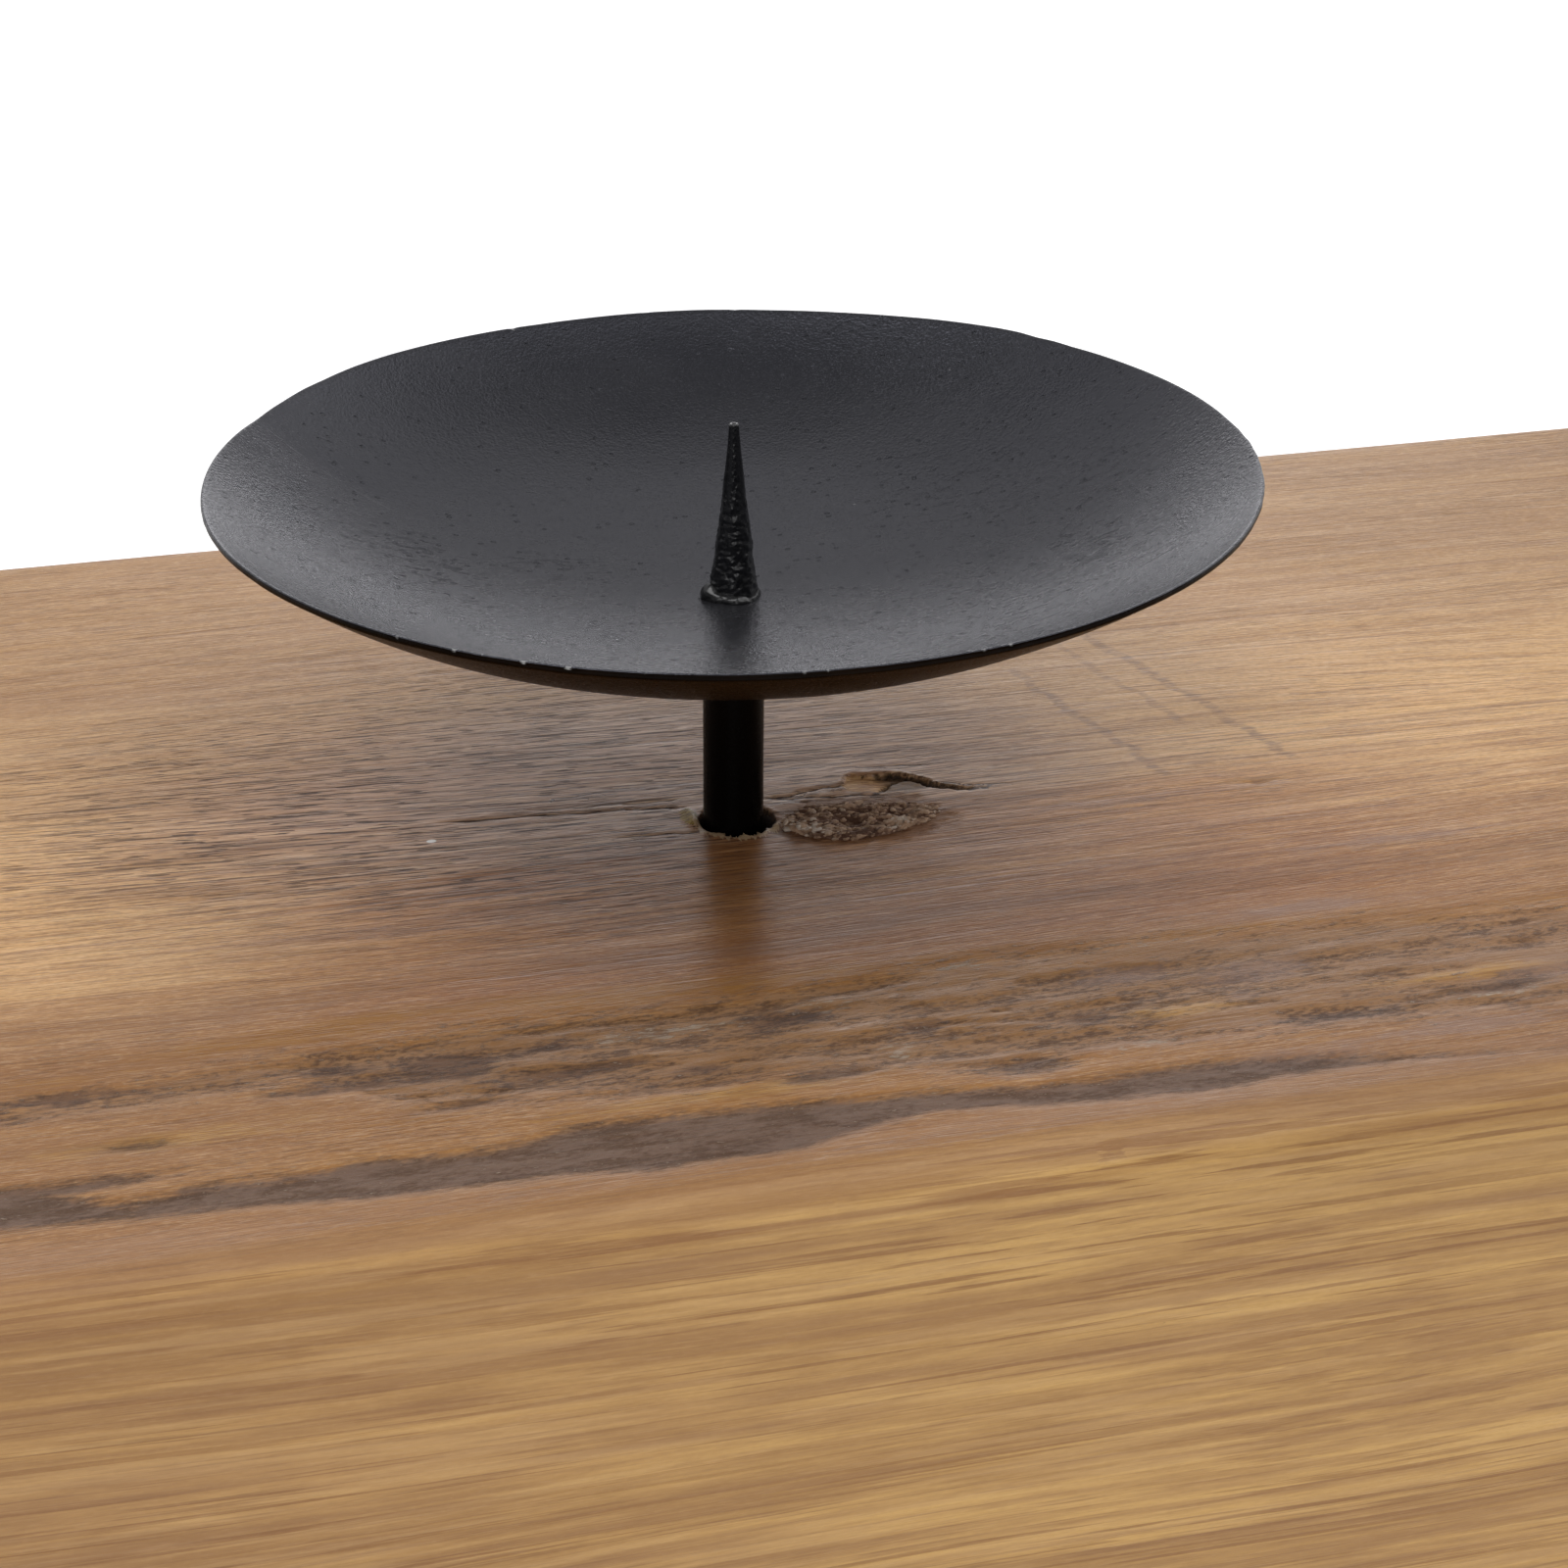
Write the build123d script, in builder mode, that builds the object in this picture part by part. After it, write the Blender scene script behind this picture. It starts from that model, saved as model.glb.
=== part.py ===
from build123d import *
import math
import os

# Pricket candle stand: a heavy reclaimed-timber beam with one drilled socket,
# and a black steel pricket (round bar, shallow drip dish, pointed spike) whose
# bar stands loose in the socket. Millimetres, +Z up, beam along X, front at -Y.
# Origin: centre of the beam's flat underside.

# ---- driving dimensions ----
base_length = 300.0
base_width = 157.0
base_height = 70.0
front_edge_radius = 4.0     # worn long arris of the top, front
back_edge_radius = 2.0      # and back
lower_edge_radius = 2.0     # long arrises of the underside
end_edge_chamfer = 1.2      # sawn ends, sharp edge just broken

stem_x = 0.0
stem_y = -10.4              # the socket is drilled off the beam's centre line
stem_diameter = 6.0
socket_diameter = 6.6       # loose drilled hole, 0.3 mm clear all round
socket_depth = 30.0
mouth_diameter = 8.0        # torn mouth of the drilled hole
mouth_depth = 2.2
stem_foot_chamfer = 0.5

dish_diameter = 100.0
dish_thickness = 1.0
dish_depth = 13.15          # inside, rim down to the lowest point
dish_floor_slope = 10.0     # degrees, where the flat curve of the floor meets the wall's tighter one
dish_rim_slope = 38.0       # degrees, at the rim
dish_bottom_above_base = 24.2   # inside lowest point above the beam's top
rim_edge_radius = 0.35

spike_base_diameter = 5.0
spike_tip_diameter = 0.9
spike_height = 17.4

spike_weld_reach = 1.0      # how far the bead stands out from the spike's foot
spike_weld_height = 1.0
stem_weld_reach = 1.7
stem_weld_height = 1.7

filler_x = 12.6             # from the stem's axis, along the beam
filler_y = -2.9
filler_half_length = 7.8
filler_half_width = 4.4
filler_depth = 6.0
filler_below_top = 0.2

# ---- derived ----
top_z = base_height
dish_in_z = top_z + dish_bottom_above_base
floor_lean = math.radians(dish_floor_slope)
rim_lean = math.radians(dish_rim_slope)
# the sheet's edge is square to it, so its outer corner stands out furthest;
# its rounding takes a little off the diameter
inner_rim_radius = (
    dish_diameter / 2
    + rim_edge_radius * (math.cos(rim_lean) + math.sin(rim_lean) - 1)
    - dish_thickness * math.sin(rim_lean)
)
# radii of the floor's and the wall's curves, tangent to each other, that reach
# the rim's radius and height together
sin_a, cos_a = math.sin(floor_lean), math.cos(floor_lean)
sin_b, cos_b = math.sin(rim_lean), math.cos(rim_lean)
share = sin_a * (cos_a - cos_b) - (1 - cos_a) * (sin_b - sin_a)
floor_radius = (inner_rim_radius * (cos_a - cos_b) - dish_depth * (sin_b - sin_a)) / share
wall_radius = (dish_depth * sin_a - inner_rim_radius * (1 - cos_a)) / share
floor_centre_z = dish_in_z + floor_radius
wall_centre = (
    (floor_radius - wall_radius) * sin_a,
    floor_centre_z - (floor_radius - wall_radius) * cos_a,
)
outer_floor_radius = floor_radius + dish_thickness
dish_out_z = dish_in_z - dish_thickness
stem_axis = Axis((stem_x, stem_y, 0), (0, 0, 1))
section = Plane(origin=(stem_x, stem_y, 0), x_dir=(1, 0, 0), z_dir=(0, -1, 0))

os.makedirs("parts", exist_ok=True)

# the ball that the dish's floor is part of, and the one for its underside,
# turned so that their poles lie level
inner_ball = Pos(stem_x, stem_y, floor_centre_z) * Sphere(floor_radius, rotation=(90, 0, 0))
outer_ball = Pos(stem_x, stem_y, floor_centre_z) * Sphere(outer_floor_radius, rotation=(90, 0, 0))

# ---- drip dish: pressed sheet, nearly flat floor curving up into the wall, edge square to the sheet ----
def on_floor(radius, lean):
    return (radius * math.sin(lean), floor_centre_z - radius * math.cos(lean))


def on_wall(radius, lean):
    return (
        wall_centre[0] + radius * math.sin(lean),
        wall_centre[1] - radius * math.cos(lean),
    )


with BuildPart() as drip_dish:
    with BuildSketch(section):
        with BuildLine():
            outer_wall_radius = wall_radius + dish_thickness
            middle_lean = (floor_lean + rim_lean) / 2
            ThreePointArc(
                (0, dish_in_z),
                on_floor(floor_radius, floor_lean / 2),
                on_floor(floor_radius, floor_lean),
            )
            ThreePointArc(
                on_floor(floor_radius, floor_lean),
                on_wall(wall_radius, middle_lean),
                on_wall(wall_radius, rim_lean),
            )
            Line(on_wall(wall_radius, rim_lean), on_wall(outer_wall_radius, rim_lean))
            ThreePointArc(
                on_wall(outer_wall_radius, rim_lean),
                on_wall(outer_wall_radius, middle_lean),
                on_floor(outer_floor_radius, floor_lean),
            )
            ThreePointArc(
                on_floor(outer_floor_radius, floor_lean),
                on_floor(outer_floor_radius, floor_lean / 2),
                (0, dish_out_z),
            )
            Line((0, dish_out_z), (0, dish_in_z))
        make_face()
    revolve(axis=stem_axis)
    fillet(
        drip_dish.edges().filter_by(GeomType.CIRCLE).group_by(Axis.Z)[-2:],
        radius=rim_edge_radius,
    )
drip_dish.part.label = "drip_dish"

# ---- stem: plain round bar, foot chamfered, top end cut to the dish's underside ----
with BuildPart() as stem_rod:
    with BuildSketch(Plane((stem_x, stem_y, top_z - socket_depth))):
        Circle(stem_diameter / 2)
    extrude(amount=socket_depth + dish_bottom_above_base - 0.5)
    chamfer(
        stem_rod.edges().filter_by(GeomType.CIRCLE).sort_by(Axis.Z)[0],
        length=stem_foot_chamfer,
    )
    add(outer_ball, mode=Mode.SUBTRACT)
stem_rod.part.label = "stem_rod"

# ---- spike: straight taper, blunt point, foot cut to the dish's inside ----
with BuildPart() as pricket_spike:
    spike_flare = (spike_base_diameter - spike_tip_diameter) / spike_height
    with BuildSketch(section):
        with BuildLine():
            Polyline(
                (0, dish_in_z - 0.5),
                (spike_base_diameter / 2 + spike_flare * 0.25, dish_in_z - 0.5),
                (spike_tip_diameter / 2, dish_in_z + spike_height),
                (0, dish_in_z + spike_height),
                close=True,
            )
        make_face()
    revolve(axis=stem_axis)
    fillet(
        pricket_spike.edges().filter_by(GeomType.CIRCLE).sort_by(Axis.Z)[-1],
        radius=0.2,
    )
    add(inner_ball, mode=Mode.INTERSECT)
pricket_spike.part.label = "pricket_spike"

# ---- weld bead round the spike's foot, on the inside of the dish ----
with BuildPart() as spike_weld:
    foot = spike_base_diameter / 2
    with BuildSketch(section):
        with BuildLine():
            Polyline(
                (foot * 0.5, dish_in_z - 0.5),
                (foot + spike_weld_reach, dish_in_z - 0.5),
                (foot + spike_weld_reach, dish_in_z + 0.25),
                (foot + spike_weld_reach * 0.45, dish_in_z + spike_weld_height * 0.6),
                (foot, dish_in_z + spike_weld_height),
                (foot * 0.5, dish_in_z + spike_weld_height),
                close=True,
            )
        make_face()
    revolve(axis=stem_axis)
    add(inner_ball, mode=Mode.INTERSECT)
    add(pricket_spike.part, mode=Mode.SUBTRACT)
spike_weld.part.label = "spike_weld"

# ---- weld bead between the stem's top and the underside of the dish ----
with BuildPart() as stem_weld:
    bar = stem_diameter / 2
    with BuildSketch(section):
        with BuildLine():
            Polyline(
                (bar * 0.8, dish_out_z - stem_weld_height),
                (bar + 0.1, dish_out_z - stem_weld_height),
                (bar + stem_weld_reach * 0.55, dish_out_z - stem_weld_height * 0.62),
                (bar + stem_weld_reach, dish_out_z - 0.1),
                (bar + stem_weld_reach, dish_out_z + 0.6),
                (bar * 0.8, dish_out_z + 0.6),
                close=True,
            )
        make_face()
    revolve(axis=stem_axis)
    add(outer_ball, mode=Mode.SUBTRACT)
    add(stem_rod.part, mode=Mode.SUBTRACT)
stem_weld.part.label = "stem_weld"

# ---- beam: squared timber with worn arrises, blind socket and an old hole beside it ----
with BuildPart() as wood_base:
    with BuildSketch(Plane.XY):
        Rectangle(base_length, base_width)
    extrude(amount=base_height)
    fillet(
        wood_base.edges().filter_by(Axis.X).group_by(Axis.Z)[-1].sort_by(Axis.Y)[0],
        radius=front_edge_radius,
    )
    fillet(
        wood_base.edges().filter_by(Axis.X).group_by(Axis.Z)[-1].sort_by(Axis.Y)[-1],
        radius=back_edge_radius,
    )
    fillet(
        wood_base.edges().filter_by(Axis.X).group_by(Axis.Z)[0],
        radius=lower_edge_radius,
    )
    chamfer(
        wood_base.faces().sort_by(Axis.X)[0].edges(),
        length=end_edge_chamfer,
    )
    chamfer(
        wood_base.faces().sort_by(Axis.X)[-1].edges(),
        length=end_edge_chamfer,
    )
    # blind socket for the stem
    with BuildSketch(Plane((stem_x, stem_y, top_z))):
        Circle(socket_diameter / 2)
    extrude(amount=-socket_depth, mode=Mode.SUBTRACT)
    # torn mouth, a short cone down to the drilled diameter
    with BuildSketch(section):
        with BuildLine():
            Polyline(
                (0, top_z + 0.5),
                (mouth_diameter / 2, top_z + 0.5),
                (mouth_diameter / 2, top_z - 0.4),
                (socket_diameter / 2, top_z - mouth_depth),
                (0, top_z - mouth_depth),
                close=True,
            )
        make_face()
    revolve(axis=stem_axis, mode=Mode.SUBTRACT)
    # old hole beside the socket, long in the grain's direction
    with BuildSketch(Plane((stem_x + filler_x, stem_y + filler_y, top_z))):
        Ellipse(filler_half_length, filler_half_width)
    extrude(amount=-filler_depth, mode=Mode.SUBTRACT)
wood_base.part.label = "wood_base"

# ---- filler: the paste that stops the old hole, just under flush ----
with BuildPart() as wood_filler:
    with BuildSketch(
        Plane((stem_x + filler_x, stem_y + filler_y, top_z - filler_depth))
    ):
        Ellipse(filler_half_length, filler_half_width)
    extrude(amount=filler_depth - filler_below_top)
wood_filler.part.label = "wood_filler"

export_step(wood_base.part, "parts/wood_base.step")
export_step(wood_filler.part, "parts/wood_filler.step")
export_step(stem_rod.part, "parts/stem_rod.step")
export_step(stem_weld.part, "parts/stem_weld.step")
export_step(drip_dish.part, "parts/drip_dish.step")
export_step(spike_weld.part, "parts/spike_weld.step")
export_step(pricket_spike.part, "parts/pricket_spike.step")
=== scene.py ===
import math

import bpy
import numpy as np
from mathutils import Matrix, Vector
from mathutils.geometry import delaunay_2d_cdt


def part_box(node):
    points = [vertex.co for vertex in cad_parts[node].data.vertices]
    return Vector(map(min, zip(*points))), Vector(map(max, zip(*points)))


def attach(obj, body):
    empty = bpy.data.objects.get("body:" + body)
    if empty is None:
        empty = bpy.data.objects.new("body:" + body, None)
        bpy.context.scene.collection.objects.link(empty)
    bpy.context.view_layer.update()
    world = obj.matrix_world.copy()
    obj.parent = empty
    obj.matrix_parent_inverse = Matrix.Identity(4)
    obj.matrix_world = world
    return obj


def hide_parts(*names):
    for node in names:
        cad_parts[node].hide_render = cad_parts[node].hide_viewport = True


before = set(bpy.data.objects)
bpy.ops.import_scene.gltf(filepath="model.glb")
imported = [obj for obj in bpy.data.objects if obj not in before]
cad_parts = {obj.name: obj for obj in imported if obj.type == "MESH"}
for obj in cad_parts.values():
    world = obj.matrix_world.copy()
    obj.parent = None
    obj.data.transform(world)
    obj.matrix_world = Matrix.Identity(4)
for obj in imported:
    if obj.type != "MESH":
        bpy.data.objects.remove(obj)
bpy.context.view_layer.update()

# Sizes below are in millimetres in the CAD frame; meshes are scaled to metres
# when they are made. "Rel" coordinates are measured from the stem's axis.
MM = 0.001
wood_lo, wood_hi = (v * 1000 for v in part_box("wood_base"))
stem_lo, stem_hi = (v * 1000 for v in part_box("stem_rod"))
fill_lo, fill_hi = (v * 1000 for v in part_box("wood_filler"))
point_lo, point_hi = (v * 1000 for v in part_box("pricket_spike"))
SX = (stem_lo.x + stem_hi.x) / 2
SY = (stem_lo.y + stem_hi.y) / 2
TOP = wood_hi.z
HALF_X = (wood_hi.x - wood_lo.x) / 2
HALF_Y = (wood_hi.y - wood_lo.y) / 2
SPIKE_H = 17.4
DISH_Z = point_hi.z - SPIKE_H      # inside lowest point of the dish
# the dish's inside: a flat curve for the floor, a tighter one for the wall
FLOOR_R, WALL_R = 143.27, 55.76
WALL_X, WALL_Z = 15.196, 57.089    # centre of the wall's curve, from the axis and the lowest point
FLOOR_LEAN, RIM_LEAN = math.radians(10), math.radians(38)
SHEET = 1.0


# ---------------------------------------------------------------- noise
def lattice(ix, iy, iz, seed):
    n = (ix * 374761393 + iy * 668265263 + iz * 1274126177 + seed * 974634777) & 0xFFFFFFFF
    n = ((n ^ (n >> 13)) * 1274126177) & 0xFFFFFFFF
    n = n ^ (n >> 16)
    return (n & 0xFFFFFF) / 8388607.5 - 1.0


def vnoise(x, y, z=0.0, seed=0):
    x, y, z = np.broadcast_arrays(
        np.asarray(x, float), np.asarray(y, float), np.asarray(z, float)
    )
    fx, fy, fz = np.floor(x), np.floor(y), np.floor(z)
    ix, iy, iz = fx.astype(np.int64), fy.astype(np.int64), fz.astype(np.int64)
    u, v, w = x - fx, y - fy, z - fz
    u, v, w = (t * t * t * (t * (t * 6 - 15) + 10) for t in (u, v, w))
    total = 0.0
    for dx in (0, 1):
        for dy in (0, 1):
            for dz in (0, 1):
                weight = (
                    (u if dx else 1 - u) * (v if dy else 1 - v) * (w if dz else 1 - w)
                )
                total = total + weight * lattice(ix + dx, iy + dy, iz + dz, seed)
    return total


def fbm(x, y, z=0.0, seed=0, octaves=3, gain=0.5):
    total, amp, norm = 0.0, 1.0, 0.0
    for k in range(octaves):
        s = 2.0**k
        total = total + amp * vnoise(x * s + 17.3 * k, y * s - 9.1 * k, z * s + 4.7 * k, seed + k)
        norm += amp
        amp *= gain
    return total / norm


def cells(x, y, seed):
    """Distance to the nearest jittered cell point, and that cell's random value."""
    fx, fy = np.floor(x).astype(np.int64), np.floor(y).astype(np.int64)
    best = np.full(np.shape(x), 9.0)
    value = np.zeros(np.shape(x))
    for dx in (-1, 0, 1):
        for dy in (-1, 0, 1):
            cx, cy = fx + dx, fy + dy
            px = cx + 0.5 + 0.42 * lattice(cx, cy, 0 * cx, seed)
            py = cy + 0.5 + 0.42 * lattice(cx, cy, 0 * cx + 1, seed)
            d = np.hypot(x - px, y - py)
            near = d < best
            best = np.where(near, d, best)
            value = np.where(near, lattice(cx, cy, 0 * cx + 2, seed), value)
    return best, value


def smooth(a, b, x):
    t = np.clip((np.asarray(x, float) - a) / (b - a), 0, 1)
    return t * t * (3 - 2 * t)


def spaced(a, b, step):
    return list(np.linspace(a, b, max(1, round(abs(b - a) / step)) + 1))


def between(x, y, upper, lower):
    """Millimetres inside a band that runs along X between two edges given as points, negative outside."""
    u = np.interp(x, [p[0] for p in upper], [p[1] for p in upper])
    v = np.interp(x, [p[0] for p in lower], [p[1] for p in lower])
    return np.minimum(u - y, y - v)


def to_line(x, y, points):
    """Distance from each point to a polyline, and how far along it, 0 to 1."""
    best = np.full(np.shape(x), 1e9)
    along = np.zeros(np.shape(x))
    n = len(points) - 1
    for k, (a, b) in enumerate(zip(points[:-1], points[1:])):
        dx, dy = b[0] - a[0], b[1] - a[1]
        t = np.clip(((x - a[0]) * dx + (y - a[1]) * dy) / (dx * dx + dy * dy), 0, 1)
        d = np.hypot(x - a[0] - t * dx, y - a[1] - t * dy)
        near = d < best
        best = np.where(near, d, best)
        along = np.where(near, (k + t) / n, along)
    return best, along


def make(name, verts, faces, body, node, marks=None, smooth_faces=True):
    """A mesh piece, its vertices given in millimetres, riding on a body in place of a CAD node."""
    mesh = bpy.data.meshes.new(name)
    mesh.from_pydata((np.asarray(verts) * MM).tolist(), [], faces)
    mesh.validate()
    mesh.update()
    for key, values in (marks or {}).items():
        layer = mesh.attributes.new(key, "FLOAT", "POINT")
        layer.data.foreach_set("value", np.asarray(values, np.float32))
    mesh.polygons.foreach_set("use_smooth", [smooth_faces] * len(mesh.polygons))
    piece = bpy.data.objects.new(name, mesh)
    bpy.context.scene.collection.objects.link(piece)
    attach(piece, body)
    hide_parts(node)
    return piece


# ---------------------------------------------------------------- the beam's top: what marks it
# edges of the dark grey-brown streak near the front arris
DARK_TOP = [(-150, -55.6), (-112, -54.6), (-92, -52.0), (-75, -50.3), (-65.6, -55.9), (-59.4, -54.5),
            (-49.2, -54.8), (-47, -53.8), (-38.9, -55.1), (-32.5, -54.9), (-27.9, -53.2), (-21.5, -53.6),
            (-9.9, -54.2), (-1.5, -55.7), (3, -55.6), (11.6, -57), (18.4, -57.1), (27.8, -56.8),
            (34.6, -57.7), (43.2, -59.6), (52.1, -61.1), (59.6, -62.5), (90, -63.1), (150, -63.8)]
DARK_LOW = [(-150, -55.4), (-112, -56.4), (-92, -57.3), (-75.5, -57.2), (-65.8, -58), (-59.9, -58.4),
            (-49.9, -59.4), (-48, -59.6), (-39.9, -60.2), (-33.7, -60.6), (-29.6, -60.9), (-23.6, -62.1),
            (-12.1, -61.9), (-2.8, -60), (2, -58.7), (10.5, -60.1), (17, -61), (25.9, -61.6),
            (33, -61.3), (42.3, -61.5), (51.3, -62.6), (59.1, -63.4), (90, -63.7), (150, -63.9)]
# edges of the weathered, patchy zone
WORN_TOP = [(-150, -41), (-70, -38.5), (-48.7, -36.3), (-32.5, -35.2), (-17.3, -35.9), (-4.8, -36),
            (7.5, -34.3), (24.5, -34.5), (49.1, -35.9), (72, -38.8), (150, -42)]
WORN_LOW = [(-150, -41.5), (-70, -40.5), (-49.1, -39.1), (-40.5, -45.7), (-29, -47.9), (-16.3, -50.1),
            (-8.5, -49.1), (8.2, -52.6), (31.2, -52.5), (63.3, -55.4), (100, -52), (150, -44)]
# middle line of the orange-gold streak behind it, and of the brown line behind that
GOLD_LINE = [(-150, -36.5), (-65.8, -34.7), (-39.7, -30.9), (-22, -31.9), (-4.2, -33.7), (9.9, -33.6),
             (29.1, -33.7), (60, -35.5), (150, -39)]
BROWN_LINE = [(-150, -24), (-73.5, -25.2), (-60.6, -27.2), (-47.2, -26.1), (-35.6, -24.9), (-24.1, -25.4),
              (-2.5, -27.5), (8, -25.2), (23.3, -24.1), (70, -26), (150, -27)]
# separate patches: x, y, half length, half width, strength
PATCHES = {
    "dark": [(-69.5, -37.8, 6.5, 1.3, 1), (-63.9, -47.2, 3.4, 0.8, 0.9), (-68.7, -52.1, 7.5, 1.0, 1),
             (-45.7, -38.8, 4.6, 0.8, 1), (-36.5, -40.4, 5.6, 2.6, 0.75), (-44.9, -41.8, 7, 1.0, 0.8),
             (-36.4, -47.4, 3.6, 0.9, 0.8), (-27, -39.6, 2.8, 1.1, 1), (-26.5, -44.3, 7.5, 1.5, 0.85),
             (-20.8, -48.5, 1.6, 1.1, 1), (-15.1, -46.9, 2.2, 1.1, 1.2), (-4.7, -50.6, 5.4, 1.2, 0.9),
             (5.6, -44.7, 2.3, 1.4, 1), (12.7, -53.6, 4.4, 1.3, 1), (19.9, -46.7, 2.6, 1.4, 0.8),
             (-6.1, -40.2, 4.6, 1.6, 0.7), (42.4, -52.1, 6, 1.1, 0.8), (58.8, -50.8, 5.2, 1.1, 0.9),
             (96, -47, 9, 1.3, 0.9), (120, -40, 12, 1.1, 0.8), (-110, -44, 10, 1.2, 0.9), (-128, -31, 9, 1, 0.7)],
    "lilac": [(35.7, -58.3, 7, 1.5, 0.9), (35.3, -46.6, 1.4, 1.3, 1), (38.4, -42.1, 6.5, 2.2, 1),
              (26.5, -39.9, 5, 1.8, 0.9), (55.2, -4.9, 1.9, 0.9, 1), (52, -57, 8, 1.6, 0.8), (70, -49, 12, 2.2, 0.8),
              (105, -30, 9, 2, 0.6), (-98, -20, 8, 1.8, 0.5), (48, -32, 10, 1.4, 0.6), (62, -21, 12, 1.2, 0.5)],
    "pale": [(-14.7, -39.4, 5, 1.3, 1), (-1.7, -38.6, 2.4, 0.9, 0.9), (2.1, -48, 1.9, 1.3, 0.9),
             (-22.1, -39.4, 1.4, 0.9, 0.8), (23.2, -52.7, 3, 1.0, 1), (58.8, -51.9, 3, 0.6, 0.9),
             (13, -35, 4, 0.5, 0.7), (-49.0, -53.9, 2.2, 0.6, 0.7), (30, -35.2, 3, 0.5, 0.7)],
    "gold": [(-14, -51.7, 15, 1.2, 1), (29, -47.4, 6.6, 1.4, 0.9), (57.8, -47.8, 10, 1.2, 1),
             (-61.7, -46.7, 13.4, 1.6, 0.4), (-6.2, -33.4, 22, 1.7, 1), (24, -37.2, 8, 0.9, 0.8),
             (-50, -32.5, 16, 1.6, 0.7), (88, -44, 14, 1.3, 0.7)],
}
# torn splinter behind the filled hole, and thin cracks beside it and the socket
TORN_BACK = [(12.8, 3.6), (13.2, 5.7), (14.0, 6.8), (14.8, 7.0), (16.4, 6.6), (17.8, 6.5), (19.5, 5.9), (20.5, 5.0),
             (21.6, 3.9), (22.6, 2.3), (24, 1.3), (27, 0.7)]
TORN_FRONT = [(12.8, 3.3), (13.9, 2.7), (15.5, 2.5), (16.75, 1.8), (18.3, 1.9), (19.9, 1.7), (21.4, 1.8), (22.6, 1.5), (27, 0.5)]
SPLIT = [(15.7, 2.2), (16.8, 3.2), (18.0, 4.4), (19.0, 5.1), (20.2, 4.9), (21.0, 3.8), (21.9, 2.7), (24, 1.3), (27, 0.7)]
CRACKS = [
    ([(4.0, 3.8), (6.4, 4.0), (8.6, 4.4), (10.4, 4.8), (12.2, 4.8), (13.3, 5.1)], 0.20),
    ([(4.3, 3.6), (7.2, 3.25), (9.8, 2.95), (11.8, 2.6), (14.2, 2.3), (17.0, 1.3)], 0.12),
    ([(-30, 6.8), (-22, 6.2), (-14, 5.4), (-9.0, 5.0), (-5.8, 4.5), (-3.4, 3.9)], 0.14),
    ([(-20, 7.4), (-13, 6.6), (-7.5, 6.2), (-3.6, 6.1)], 0.10),
    ([(-13, -0.9), (-9.7, -1.2), (-7.2, -1.3), (-5.5, -1.6), (-3.9, -2.0)], 0.10),
    ([(-17, 9.3), (-12.6, 9.4), (-9.5, 10.1)], 0.07),
    ([(22.6, 3.2), (25, 2.2), (29.5, 1.1)], 0.08),
    ([(15.5, 8.6), (19, 8.2), (23.5, 7.2)], 0.07),
]
SOCKET_R = 3.86
SOCKET_DX = 0.36


def patches(x, y, kind):
    """Roughly how many millimetres inside the nearest patch of a kind, negative outside."""
    value = np.full(np.shape(x), FAR)
    for px, py, a, b, s in PATCHES[kind]:
        wob = 0.50 * fbm(x / 3.1 + px, y / 0.8 + py, seed=71, octaves=3)
        d = np.hypot((x - px) / a, (y - py) / b) + wob
        value = np.maximum(value, (0.92 + 0.12 * (s - 1) - d) * b * 1.3)
    return value


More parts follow.
